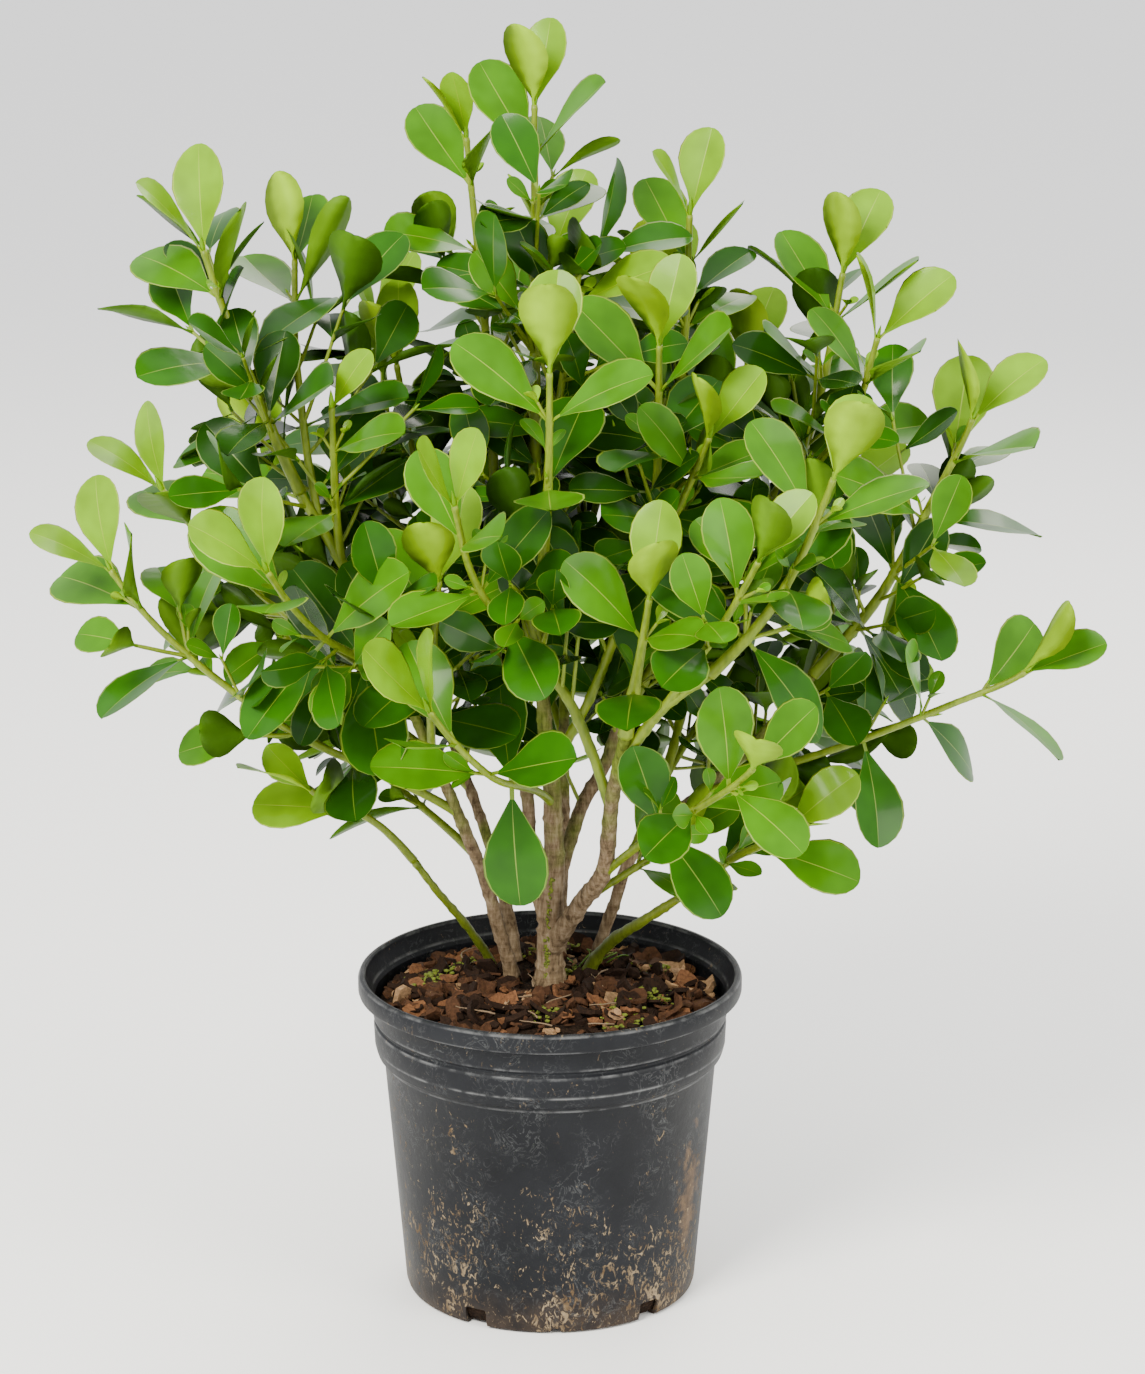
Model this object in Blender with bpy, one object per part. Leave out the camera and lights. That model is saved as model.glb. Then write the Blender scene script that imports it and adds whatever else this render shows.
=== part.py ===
"""A clusia shrub in a round nursery pot: pot, root ball, trunk, boughs and masses of foliage.

Metres, +Z up. The origin is the middle of the pot's flat underside, and -Y is the front.
"""

import math
import random

import bmesh
import bpy
from mathutils import Matrix, Vector
from mathutils.bvhtree import BVHTree

# Driving sizes of the pot
RIM_RADIUS = 0.140
POT_HEIGHT = 0.240
BASE_RADIUS = 0.1075
POT_WALL = 0.002
POT_FLOOR = 0.0025
POT_SEGMENTS = 40
NOTCH_COUNT = 5
NOTCH_FIRST_DEG = -30.0
NOTCH_SIZE = (0.017, 0.026, 0.014)
GAP = 0.0003

# The soil is mounded a little round the stems
SOIL_HEIGHT = 0.226
SOIL_EDGE_HEIGHT = 0.214
MOUND_RADIUS = 0.075
SOIL_SEGMENTS = 20

# Growth of the shrub
SEED = 7
RING_SPACING = 0.042
TWIG_SPACING = 0.075
FLARE_HEIGHT = 0.016
FLARE_GROWTH = 0.35
LEAF_RATIO = 0.56
LEAF_THICKNESS = 0.0018
LEAF_CLEARANCE = 0.0012
FIRST_INTERNODE = 0.032
INTERNODE = 0.047
BARE_FOOT = 0.022
PAIR_OPENINGS = (20, 42, 60, 72, 80)
SIDE_TWIG_CHANCE = 0.14
SIDE_TWIG_LENGTH = 0.036
SIDE_TWIG_OPENING = 40
SIDE_LEAF = 0.058
DROOP = 9.0
TIP_LEAF_SHARE = 0.84
TIP_LIFT = 0.5
SHOOT_RADIUS = 0.0028
SHOOT_TIP_RADIUS = 0.0018
ROOT_SINK = 0.0004
STALK = 0.012
# What a leaf tries in turn until it is clear: degrees sideways, degrees of opening, and its size
LEAF_TRIES = ((0, 0, 1), (14, 0, 1), (-14, 0, 1), (0, -14, 1), (0, 12, 1),
              (28, -8, 0.9), (-28, -8, 0.9), (0, -22, 0.8), (45, 0, 0.8), (-45, 0, 0.8))

# Limbs: what carries each, how far along that it starts, the points that it passes through,
# and its radius at foot and tip. None as the carrier is the soil.
LIMBS = {
    "trunk": (None, 0, [(0.000, 0.012), (0.000, 0.008, 0.262), (0.003, 0.005, 0.32),
              (0.001, 0.004, 0.38), (-0.006, 0.006, 0.45)], 0.0120, 0.0055),
    "left_bough": (None, 0, [(-0.028, 0.022), (-0.038, 0.010, 0.27), (-0.050, -0.006, 0.32),
                   (-0.085, -0.030, 0.416), (-0.129, -0.050, 0.524)], 0.0080, 0.0048),
    "far_left_bough": (None, 0, [(-0.042, 0.038), (-0.058, 0.022, 0.262), (-0.082, 0.002, 0.30),
                       (-0.098, -0.008, 0.326)], 0.0038, 0.0028),
    "low_right_bough": (None, 0, [(0.028, 0.032), (0.044, 0.018, 0.255), (0.066, -0.004, 0.278),
                        (0.094, -0.020, 0.302)], 0.0055, 0.0036),
    "back_right_bough": (None, 0, [(0.034, 0.058), (0.046, 0.050, 0.27), (0.066, 0.040, 0.322),
                         (0.138, 0.034, 0.391), (0.190, 0.028, 0.455)], 0.0062, 0.0040),
    "back_left_bough": (None, 0, [(-0.026, 0.060), (-0.042, 0.078, 0.30), (-0.072, 0.105, 0.38),
                        (-0.098, 0.126, 0.45)], 0.0062, 0.0040),
    "back_middle_bough": (None, 0, [(0.006, 0.066), (0.010, 0.092, 0.31), (0.010, 0.122, 0.40),
                          (0.008, 0.146, 0.48)], 0.0062, 0.0040),
    "centre_left_bough": ("trunk", 0.15, [(-0.014, 0.012, 0.32), (-0.017, 0.016, 0.37),
                          (-0.034, 0.026, 0.42), (-0.041, 0.036, 0.50)], 0.0066, 0.0040),
    "front_right_bough": ("trunk", 0.10, [(0.022, -0.020, 0.297), (0.039, -0.050, 0.333),
                          (0.044, -0.080, 0.394), (0.053, -0.110, 0.450)], 0.0085, 0.0050),
    "right_centre_bough": ("trunk", 0.28, [(0.022, 0.030, 0.353), (0.040, 0.040, 0.385),
                           (0.062, 0.052, 0.45), (0.074, 0.060, 0.503)], 0.0066, 0.0042),
    "inner_right_bough": ("trunk", 0.72, [(0.030, -0.006, 0.45), (0.055, -0.018, 0.52)],
                          0.0046, 0.0036),
    "leader_bough": ("trunk", 1, [(-0.009, 0.010, 0.53), (-0.010, 0.013, 0.59)], 0.0055, 0.0042),
    "right_front_bough": ("front_right_bough", 0.86, [(0.077, -0.122, 0.471),
                          (0.110, -0.134, 0.500)], 0.0046, 0.0038),
    "inner_front_bough": ("front_right_bough", 0.70, [(0.020, -0.084, 0.455),
                          (-0.012, -0.082, 0.516), (-0.005, -0.096, 0.560)], 0.0046, 0.0036),
    "left_high_bough": ("left_bough", 1, [(-0.143, -0.052, 0.556), (-0.172, -0.052, 0.608)],
                        0.0047, 0.0038),
    "right_high_bough": ("right_centre_bough", 0.52, [(0.100, 0.062, 0.50),
                         (0.146, 0.056, 0.560)], 0.0046, 0.0037),
    "back_far_bough": ("back_right_bough", 0.30, [(0.086, 0.076, 0.37), (0.104, 0.112, 0.43)],
                       0.0048, 0.0038),
}

# Masses of foliage: what carries each, how far along that its stem starts, the points between,
# the stem's tip, the direction in degrees of its last pair of leaves (0 is sideways, 90 is
# front to back), the length of its full leaves and the most pairs on its stem.
MASSES = {
    "crown_leader": ("leader_bough", 1, [(-0.010, 0.016, 0.70)], (-0.010, 0.020, 0.868), 62, 0.082, 6),
    "top_left": ("centre_left_bough", 1, [(-0.040, 0.045, 0.60), (-0.046, 0.050, 0.71)],
                 (-0.058, 0.050, 0.841), 40, 0.074, 7),
    "top_right": ("right_centre_bough", 1, [(0.088, 0.055, 0.60), (0.096, 0.042, 0.70)],
                  (0.099, 0.040, 0.788), 40, 0.076, 6),
    "upper_middle": ("leader_bough", 0.72, [], (0.022, -0.012, 0.765), 70, 0.080, 5),
    "front_middle": ("inner_front_bough", 1, [(0.000, -0.112, 0.631)], (0.001, -0.122, 0.707), 82, 0.090, 5),
    "front_upper_right": ("inner_right_bough", 1, [(0.074, -0.032, 0.60)], (0.076, -0.060, 0.714), 60, 0.086, 6),
    "right_top": ("right_high_bough", 1, [(0.186, 0.046, 0.63)], (0.208, 0.050, 0.745), 55, 0.082, 5),
    "right_top_outer": ("right_high_bough", 0.74, [(0.205, 0.012, 0.635)], (0.230, 0.000, 0.708), 25, 0.082, 5),
    "right_front": ("right_front_bough", 1, [(0.157, -0.147, 0.560)], (0.191, -0.152, 0.641), 78, 0.088, 5),
    "right_front_inner": ("right_front_bough", 0.62, [], (0.140, -0.185, 0.592), 50, 0.076, 3),
    "right_outer": ("back_right_bough", 1, [(0.237, 0.020, 0.517), (0.272, 0.008, 0.59)],
                    (0.298, 0.000, 0.650), 20, 0.088, 6),
    "right_far": ("back_right_bough", 0.55, [(0.218, -0.020, 0.419), (0.283, -0.040, 0.452)],
                  (0.335, -0.050, 0.479), 10, 0.080, 4),
    "front_right": ("front_right_bough", 1, [], (0.068, -0.160, 0.560), 85, 0.086, 3),
    "front_low_right": ("front_right_bough", 0.42, [(0.077, -0.100, 0.378)], (0.138, -0.190, 0.450),
                        40, 0.076, 4),
    "right_low": ("low_right_bough", 1, [(0.129, -0.040, 0.337)], (0.168, -0.080, 0.372), 60, 0.082, 3),
    "left_top": ("left_high_bough", 1, [(-0.206, -0.050, 0.690)], (-0.236, -0.050, 0.778), 40, 0.088, 5),
    "left_top_inner": ("left_high_bough", 0.72, [(-0.176, -0.010, 0.69)], (-0.180, 0.045, 0.755),
                       55, 0.084, 5),
    "left_back": ("left_bough", 0.76, [(-0.207, 0.030, 0.514)], (-0.278, 0.050, 0.587), 15, 0.080, 5),
    "left_low": ("far_left_bough", 1, [(-0.126, -0.022, 0.360)], (-0.170, -0.036, 0.388), 70, 0.078, 3),
    "left_outer": ("left_bough", 0.46, [(-0.114, -0.034, 0.397), (-0.186, -0.050, 0.438),
                   (-0.262, -0.050, 0.499)], (-0.306, -0.050, 0.553), 30, 0.086, 6),
    "left_inner": ("left_high_bough", 0.40, [], (-0.148, -0.085, 0.676), 60, 0.080, 4),
    "left_middle": ("centre_left_bough", 0.60, [(-0.085, 0.050, 0.56)], (-0.109, 0.050, 0.679), 70, 0.080, 5),
    "front_left": ("inner_front_bough", 0.60, [(-0.046, -0.140, 0.560)], (-0.062, -0.180, 0.629),
                   30, 0.074, 4),
    "front_far_left": ("left_bough", 0.82, [(-0.156, -0.110, 0.521)], (-0.189, -0.150, 0.576),
                       25, 0.088, 4),
    "front_low_left": ("trunk", 0.62, [(-0.040, -0.125, 0.425)], (-0.080, -0.170, 0.484), 5, 0.086, 4),
    "front_low": ("front_right_bough", 0.26, [], (0.088, -0.040, 0.352), 20, 0.066, 2),
    "inner_right": ("inner_right_bough", 0.80, [], (0.110, -0.085, 0.655), 30, 0.078, 4),
    "inner_left": ("left_bough", 0.62, [(-0.080, -0.085, 0.50)], (-0.075, -0.110, 0.56), 60, 0.082, 4),
    "back_top": ("back_middle_bough", 1, [(0.004, 0.162, 0.59)], (0.000, 0.175, 0.735), 30, 0.086, 6),
    "back_upper_right": ("back_middle_bough", 0.90, [(0.040, 0.135, 0.58)], (0.070, 0.150, 0.700), 55, 0.086, 5),
    "back_middle_right": ("back_middle_bough", 0.72, [], (0.055, 0.225, 0.570), 10, 0.086, 4),
    "back_middle_left": ("back_middle_bough", 0.60, [], (-0.045, 0.228, 0.520), 80, 0.086, 4),
    "back_upper_left": ("back_left_bough", 1, [(-0.115, 0.145, 0.54)], (-0.125, 0.160, 0.680), 15, 0.086, 6),
    "back_left": ("back_left_bough", 0.88, [], (-0.205, 0.165, 0.585), 50, 0.086, 4),
    "back_low_left": ("back_left_bough", 0.54, [], (-0.180, 0.120, 0.450), 20, 0.082, 4),
    "back_low_middle": ("back_middle_bough", 0.42, [], (-0.030, 0.200, 0.395), 40, 0.082, 3),
    "back_far_right": ("back_far_bough", 1, [(0.124, 0.142, 0.52)], (0.145, 0.160, 0.655), 65, 0.086, 6),
    "back_right": ("back_far_bough", 0.86, [], (0.215, 0.150, 0.560), 25, 0.086, 4),
    "back_low_right": ("back_far_bough", 0.44, [], (0.160, 0.190, 0.455), 70, 0.082, 4),
    "side_low_right": ("back_right_bough", 0.66, [], (0.238, 0.082, 0.452), 35, 0.080, 3),
    "side_low_left": ("left_bough", 0.34, [], (-0.150, 0.060, 0.400), 35, 0.080, 3),
}


def material(name, colour, roughness, metallic=0.0):
    """A Principled material."""
    made = bpy.data.materials.new(name)
    made.use_nodes = True
    shader = made.node_tree.nodes["Principled BSDF"]
    shader.inputs["Base Color"].default_value = (*colour, 1.0)
    shader.inputs["Roughness"].default_value = roughness
    shader.inputs["Metallic"].default_value = metallic
    return made


def add_object(name, mesh, finish, sharp_deg=35.0):
    """Links a smooth-shaded object with one material to the scene."""
    thing = bpy.data.objects.new(name, mesh)
    mesh.materials.append(finish)
    mesh.shade_smooth()
    mesh.set_sharp_from_angle(angle=math.radians(sharp_deg))
    bpy.context.scene.collection.objects.link(thing)
    return thing


def mesh_from(name, points, faces):
    """A mesh with its faces turned outwards."""
    bm = bmesh.new()
    corners = [bm.verts.new(point) for point in points]
    for face in faces:
        bm.faces.new([corners[i] for i in face])
    bmesh.ops.recalc_face_normals(bm, faces=bm.faces)
    mesh = bpy.data.meshes.new(name)
    bm.to_mesh(mesh)
    bm.free()
    return mesh


def turned(name, profile, segments):
    """Spins a profile of (radius, height) round Z. It starts and ends on the axis, or is a ring."""
    bm = bmesh.new()
    edge = [bm.verts.new((radius, 0.0, height)) for radius, height in profile]
    lines = [bm.edges.new(pair) for pair in zip(edge, edge[1:])]
    bmesh.ops.spin(bm, geom=edge + lines, cent=(0, 0, 0), axis=(0, 0, 1), angle=math.tau,
                   steps=segments, use_merge=True)
    bmesh.ops.remove_doubles(bm, verts=bm.verts, dist=1e-6)
    bmesh.ops.recalc_face_normals(bm, faces=bm.faces)
    mesh = bpy.data.meshes.new(name)
    bm.to_mesh(mesh)
    bm.free()
    return mesh


def boolean(thing, operation, other=None, collection=None, solver="EXACT"):
    """Applies a Boolean with one object or a collection, and removes what it was done with."""
    modifier = thing.modifiers.new(operation.lower(), "BOOLEAN")
    modifier.operation = operation
    modifier.solver = solver
    if collection:
        modifier.operand_type = "COLLECTION"
        modifier.collection = collection
    else:
        modifier.object = other
    graph = bpy.context.evaluated_depsgraph_get()
    result = bpy.data.meshes.new_from_object(thing.evaluated_get(graph))
    thing.modifiers.remove(modifier)
    thing.data = result
    for used in list(collection.objects) if collection else [other]:
        bpy.data.objects.remove(used)
    if collection:
        bpy.data.collections.remove(collection)


# The pot


def pot_outside():
    """The outer profile, from the middle of the underside to the top of the rim."""
    wall_top = 0.176
    return [
        (0.0, 0.0), (BASE_RADIUS - 0.004, 0.0), (BASE_RADIUS - 0.001, 0.004),
        (BASE_RADIUS, 0.012), (0.1215, wall_top), (0.1268, wall_top + 0.006),
        (0.1283, wall_top + 0.012), (0.1290, 0.203), (0.1275, 0.206), (0.1290, 0.209),
        (0.1300, 0.225), (RIM_RADIUS - 0.0015, 0.226), (RIM_RADIUS, 0.229),
        (RIM_RADIUS, POT_HEIGHT - 0.004), (RIM_RADIUS - 0.0015, POT_HEIGHT),
    ]


def pot_inside():
    """The inner profile, from the rim down to the middle of the floor."""
    return [
        (RIM_RADIUS - 0.0045, POT_HEIGHT), (RIM_RADIUS - 0.0060, POT_HEIGHT - 0.003),
        (0.1300 - POT_WALL, 0.223), (0.1283 - POT_WALL, 0.186), (0.1215 - POT_WALL, 0.178),
        (BASE_RADIUS - POT_WALL, 0.010), (BASE_RADIUS - 0.005, POT_FLOOR), (0.0, POT_FLOOR),
    ]


def make_pot(finish):
    """The pot, with drainage notches cut in the foot of its wall."""
    pot = add_object("pot", turned("pot", pot_outside() + pot_inside(), POT_SEGMENTS), finish)
    cutters = bpy.data.collections.new("notches")
    bpy.context.scene.collection.children.link(cutters)
    for index in range(NOTCH_COUNT):
        turn = math.radians(NOTCH_FIRST_DEG + index * 360.0 / NOTCH_COUNT)
        bm = bmesh.new()
        bmesh.ops.create_cube(bm, size=1.0)
        bmesh.ops.scale(bm, vec=(NOTCH_SIZE[0], NOTCH_SIZE[1], 2 * NOTCH_SIZE[2]), verts=bm.verts)
        bmesh.ops.translate(bm, vec=(0, -BASE_RADIUS, 0), verts=bm.verts)
        bmesh.ops.rotate(bm, cent=(0, 0, 0), matrix=Matrix.Rotation(turn, 3, "Z"), verts=bm.verts)
        mesh = bpy.data.meshes.new("notch")
        bm.to_mesh(mesh)
        bm.free()
        cutters.objects.link(bpy.data.objects.new("notch", mesh))
    boolean(pot, "DIFFERENCE", collection=cutters)
    pot.data.shade_smooth()
    pot.data.set_sharp_from_angle(angle=math.radians(35.0))


def make_root_ball(finish):
    """The bark and roots that fill the pot, 0.3 mm clear of it, with a low mound on top."""
    foot = POT_FLOOR + GAP
    slack = POT_WALL + 2.5 * GAP
    profile = [
        (0.0, foot), (BASE_RADIUS - 0.0062, foot), (BASE_RADIUS - slack, 0.011),
        (0.1215 - slack, 0.1775), (0.1283 - slack, 0.190), (0.1290 - slack, SOIL_EDGE_HEIGHT),
        (MOUND_RADIUS, SOIL_HEIGHT), (0.0, SOIL_HEIGHT),
    ]
    add_object("root_ball", turned("root_ball", profile, SOIL_SEGMENTS), finish)


# Stems


class Stem:
    """A tapering stem along a smooth path, with its radius at each ring."""

    def __init__(self, points, lead, tail, foot_radius, tip_radius, spacing, sides):
        self.path = smooth_path(points, lead, tail, spacing)
        self.ends = (lead.normalized(), tail.normalized())
        self.lengths = [0.0]
        for a, b in zip(self.path, self.path[1:]):
            self.lengths.append(self.lengths[-1] + (b - a).length)
        self.length = self.lengths[-1]
        self.foot_radius = foot_radius
        self.tip_radius = tip_radius
        self.sides = sides
        self.flare = False

    def at(self, distance):
        """The point and the direction at this distance from the foot."""
        if distance <= 0.0:
            return self.path[0], self.ends[0]
        for i, end in enumerate(self.lengths[1:]):
            if distance < end - 1e-7:
                share = (distance - self.lengths[i]) / (end - self.lengths[i])
                along = self.along(i).lerp(self.along(i + 1), share)
                return self.path[i].lerp(self.path[i + 1], share), along.normalized()
        return self.path[-1], self.ends[1]

    def along(self, ring):
        """The direction at one point of the path."""
        if ring == 0:
            return self.ends[0]
        if ring == len(self.path) - 1:
            return self.ends[1]
        return (self.path[ring + 1] - self.path[ring - 1]).normalized()

    def radius(self, distance):
        share = distance / self.length
        radius = self.foot_radius + (self.tip_radius - self.foot_radius) * share ** 0.8
        if self.flare and distance < FLARE_HEIGHT:
            radius *= 1 + FLARE_GROWTH * (1 - distance / FLARE_HEIGHT) ** 2
        return radius


def smooth_path(points, lead, tail, spacing):
    """A Catmull-Rom curve through the points, which leaves along lead and arrives along tail."""
    first = points[0] - lead.normalized() * (points[1] - points[0]).length
    last = points[-1] + tail.normalized() * (points[-1] - points[-2]).length
    ghost = [first, *points, last]
    path = [points[0].copy()]
    for p0, p1, p2, p3 in zip(ghost, ghost[1:], ghost[2:], ghost[3:]):
        steps = max(1, round((p2 - p1).length / spacing))
        for step in range(1, steps + 1):
            t = step / steps
            path.append(0.5 * (2 * p1 + (p2 - p0) * t + (2 * p0 - 5 * p1 + 4 * p2 - p3) * t * t
                               + (3 * p1 - p0 - 3 * p2 + p3) * t ** 3))
    return path


def stem_mesh(name, stem, grow=0.0):
    """A closed tube round the stem's path. grow makes it fatter and longer at the tip."""
    rings = list(zip(stem.path, stem.lengths))
    if stem.flare:
        rings[1:1] = [(stem.at(share * FLARE_HEIGHT)[0], share * FLARE_HEIGHT) for share in (0.3, 1.0)]
    points = []
    side = Vector((0.0, 1.0, 0.0))
    for place, distance in rings:
        along = stem.at(distance)[1]
        across = (side - along * side.dot(along)).normalized()
        up = along.cross(across)
        radius = stem.radius(distance) + grow
        centre = place + along * grow if distance == stem.length else place
        for i in range(stem.sides):
            turn = math.tau * i / stem.sides
            points.append(centre + radius * (math.cos(turn) * across + math.sin(turn) * up))
    count = stem.sides
    faces = []
    for ring in range(len(rings) - 1):
        low = ring * count
        for i in range(count):
            j = (i + 1) % count
            faces.append((low + i, low + j, low + count + j, low + count + i))
    faces.append(tuple(reversed(range(count))))
    faces.append(tuple(range(len(points) - count, len(points))))
    return mesh_from(name, points, faces)


def start_on(carrier, share, towards):
    """Where a stem starts on its carrier, and the direction in which it leaves."""
    point, along = carrier.at(share * carrier.length)
    if share == 1:
        return point + along * GAP, along
    return point, along * 0.55 + (towards - point).normalized() * 0.75


def cut_clear(thing, carrier):
    """Cuts the stem's foot to a saddle, 0.3 mm clear of its carrier."""
    grow = GAP / math.cos(math.pi / carrier.sides)
    cutter = bpy.data.objects.new("cutter", stem_mesh("cutter", carrier, grow))
    bpy.context.scene.collection.objects.link(cutter)
    boolean(thing, "DIFFERENCE", other=cutter)


def make_limbs(finishes):
    """The trunk and the boughs."""
    stems = {}
    for name, (carrier, share, places, foot_radius, tip_radius) in LIMBS.items():
        if carrier is None:
            foot = Vector((*places[0], SOIL_HEIGHT + GAP))
            points = [foot] + [Vector(place) for place in places[1:]]
            lead = Vector((0.0, 0.0, 1.0))
        else:
            points = [Vector(place) for place in places]
            foot, lead = start_on(stems[carrier], share, points[0])
            points.insert(0, foot)
        sides = 8 if foot_radius > 0.008 else 6
        stem = Stem(points, lead, points[-1] - points[-2], foot_radius, tip_radius, RING_SPACING, sides)
        stem.flare = carrier is None
        stems[name] = stem
        finish = finishes["bark" if foot_radius > 0.0047 else "green_stem"]
        thing = add_object(name, stem_mesh(name, stem), finish)
        if carrier and share < 1:
            cut_clear(thing, stems[carrier])
    return stems


# Foliage


def leaf_shape(base, along, upper, length, grow=0.0):
    """Points and faces of an obovate leaf: a narrow root, its widest place and a blunt tip."""
    across = along.cross(upper).normalized()
    half = length * LEAF_RATIO / 2 + grow
    thick = LEAF_THICKNESS + grow
    reach = length + grow
    points = [
        base + upper * thick * 0.5, base - upper * (thick * 0.5),
        base + along * 0.62 * reach + across * half, base + along * 0.62 * reach - across * half,
        base + along * reach + across * half * 0.42 - upper * 0.04 * length,
        base + along * reach - across * half * 0.42 - upper * 0.04 * length,
        base + along * 0.64 * reach + upper * (thick - 0.02 * length),
    ]
    if grow:
        points[6] += upper * grow
    faces = [
        (0, 6, 2), (2, 6, 4), (4, 6, 5), (5, 6, 3), (3, 6, 0),
        (1, 2, 3), (2, 4, 5), (2, 5, 3), (0, 2, 1), (0, 1, 3),
    ]
    return points, faces


def leaf_frame(along_stem, azimuth, opening, droop=0.0):
    """The direction of a leaf and of its upper face, from the stem's direction."""
    sideways = Vector((1.0, 0.0, 0.0))
    sideways = (sideways - along_stem * sideways.dot(along_stem)).normalized()
    away = along_stem.cross(sideways)
    turn = math.radians(azimuth)
    outwards = math.cos(turn) * sideways + math.sin(turn) * away
    tilt = math.radians(opening)
    along = math.cos(tilt) * along_stem + math.sin(tilt) * outwards
    upper = math.sin(tilt) * along_stem - math.cos(tilt) * outwards
    hinge = along.cross(Vector((0.0, 0.0, -1.0)))
    if hinge.length > 0.05:
        turned_down = Matrix.Rotation(math.radians(droop), 3, hinge)
        along, upper = turned_down @ along, turned_down @ upper
    return along, upper


def pairs_on(stem, first, bare, pairs):
    """Distances of the leaf pairs from the foot, from the tip down."""
    places = []
    place = stem.length - 0.003
    step = first
    while place > bare and len(places) < pairs:
        places.append(place)
        place -= step
        step = INTERNODE
    return places


def tree_of(mesh):
    """The mesh's faces, for tests of what touches what."""
    points = [vertex.co.copy() for vertex in mesh.vertices]
    return BVHTree.FromPolygons(points, [tuple(face.vertices) for face in mesh.polygons])


def joined(shapes):
    """The faces of several shapes, for tests of what touches what."""
    points, faces = [], []
    for shape_points, shape_faces in shapes:
        start = len(points)
        points += shape_points
        faces += [tuple(i + start for i in face) for face in shape_faces]
    return BVHTree.FromPolygons(points, faces)


class Mass:
    """One mass of foliage: a stem, short side twigs and pairs of leaves, all in one solid."""

    def __init__(self, name, row, limbs, finish, dice):
        self.name = name
        carrier, share, between, tip, self.roll, self.leaf, self.pairs = row
        self.dice = dice
        points = [Vector(place) for place in [*between, tip]]
        foot, lead = start_on(limbs[carrier], share, points[0])
        points.insert(0, foot)
        tail = (points[-1] - points[-2]).normalized() + Vector((0.0, 0.0, TIP_LIFT))
        radius = SHOOT_RADIUS if share < 1 else limbs[carrier].tip_radius
        self.stem = Stem(points, lead, tail, radius, SHOOT_TIP_RADIUS, TWIG_SPACING, 3)
        self.solid = add_object(name, stem_mesh(name, self.stem), finish)
        if share < 1:
            cut_clear(self.solid, limbs[carrier])
        self.tree = tree_of(self.solid.data)
        self.twigs = []
        self.leaves = []
        self.blades = []

    def leaf_out(self, taken):
        """Adds pairs of leaves from the tip down, each pair crossing the one above it."""
        distances = pairs_on(self.stem, FIRST_INTERNODE, BARE_FOOT, self.pairs)
        for index, distance in enumerate(distances):
            base, along = self.stem.at(distance)
            opening = PAIR_OPENINGS[index] if index < len(PAIR_OPENINGS) else PAIR_OPENINGS[-1]
            size = self.leaf * (TIP_LEAF_SHARE if index == 0 else 1.0)
            for half_turn in (0, 180):
                azimuth = self.roll + 90 * index + half_turn + self.dice.uniform(-9, 9)
                droop = DROOP * index * self.dice.random()
                self.add_leaf(taken, base, along, azimuth, opening + self.dice.uniform(-7, 7),
                              size * self.dice.uniform(0.92, 1.06), droop)
                if index >= 2 and self.dice.random() < SIDE_TWIG_CHANCE:
                    self.add_side_twig(taken, base, along, azimuth)

    def add_leaf(self, taken, base, stem_along, azimuth, opening, length, droop=0.0):
        """Puts a leaf where it is clear of all else, turned or shortened a little, or skips it."""
        for nudge, lift, shrink in LEAF_TRIES:
            along, upper = leaf_frame(stem_along, azimuth + nudge, opening + lift, droop)
            root = base - along * ROOT_SINK
            points, faces = leaf_shape(root, along, upper, length * shrink, LEAF_CLEARANCE)
            tree = BVHTree.FromPolygons(points, faces)
            if any(other.overlap(tree) for other in taken):
                continue
            blade = leaf_shape(root + along * STALK, along, upper, length * shrink - STALK, GAP)
            if BVHTree.FromPolygons(*blade).overlap(joined(self.blades)):
                continue
            self.leaves.append(leaf_shape(root, along, upper, length * shrink))
            self.blades.append(blade)
            return

    def add_side_twig(self, taken, base, along, azimuth):
        """A short twig in a leaf's axil, with a pair of small leaves."""
        heading, _ = leaf_frame(along, azimuth, SIDE_TWIG_OPENING)
        length = SIDE_TWIG_LENGTH * self.dice.uniform(0.8, 1.3)
        tip = base + heading * length + Vector((0.0, 0.0, 0.15 * length))
        twig = Stem([base, tip], heading, tip - base, 0.0017, 0.0014, 1.0, 3)
        mesh = stem_mesh("twig", twig)
        if any(other.overlap(tree_of(mesh)) for other in taken):
            return
        self.twigs.append(mesh)
        end, twig_along = twig.at(length - 0.002)
        spin = self.dice.uniform(0, 180)
        for half_turn in (0, 180):
            self.add_leaf(taken, end, twig_along, spin + half_turn, self.dice.uniform(28, 50),
                          SIDE_LEAF * self.dice.uniform(0.9, 1.1))

    def fuse(self):
        """Joins the stem, the side twigs and the leaves into one solid."""
        pieces = bpy.data.collections.new("pieces")
        bpy.context.scene.collection.children.link(pieces)
        leaf_meshes = [mesh_from("leaf", points, faces) for points, faces in self.leaves]
        for mesh in self.twigs + leaf_meshes:
            pieces.objects.link(bpy.data.objects.new("piece", mesh))
        boolean(self.solid, "UNION", collection=pieces, solver="MANIFOLD")
        self.tree = tree_of(self.solid.data)


def make_foliage(limbs, finish):
    """Grows the masses one by one, each clear of the limbs and of every other mass."""
    limb_trees = [tree_of(bpy.data.objects[name].data) for name in ("pot", "root_ball", *limbs)]
    masses = [Mass(name, row, limbs, finish, random.Random(SEED + index))
              for index, (name, row) in enumerate(MASSES.items())]
    for mass in masses:
        mass.leaf_out(limb_trees + [other.tree for other in masses if other is not mass])
        mass.fuse()
    for mass in masses:
        print(mass.name, len(mass.leaves), "of", 2 * mass.pairs, "leaves")
    print(sum(len(mass.leaves) for mass in masses), "leaves in all")


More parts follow.
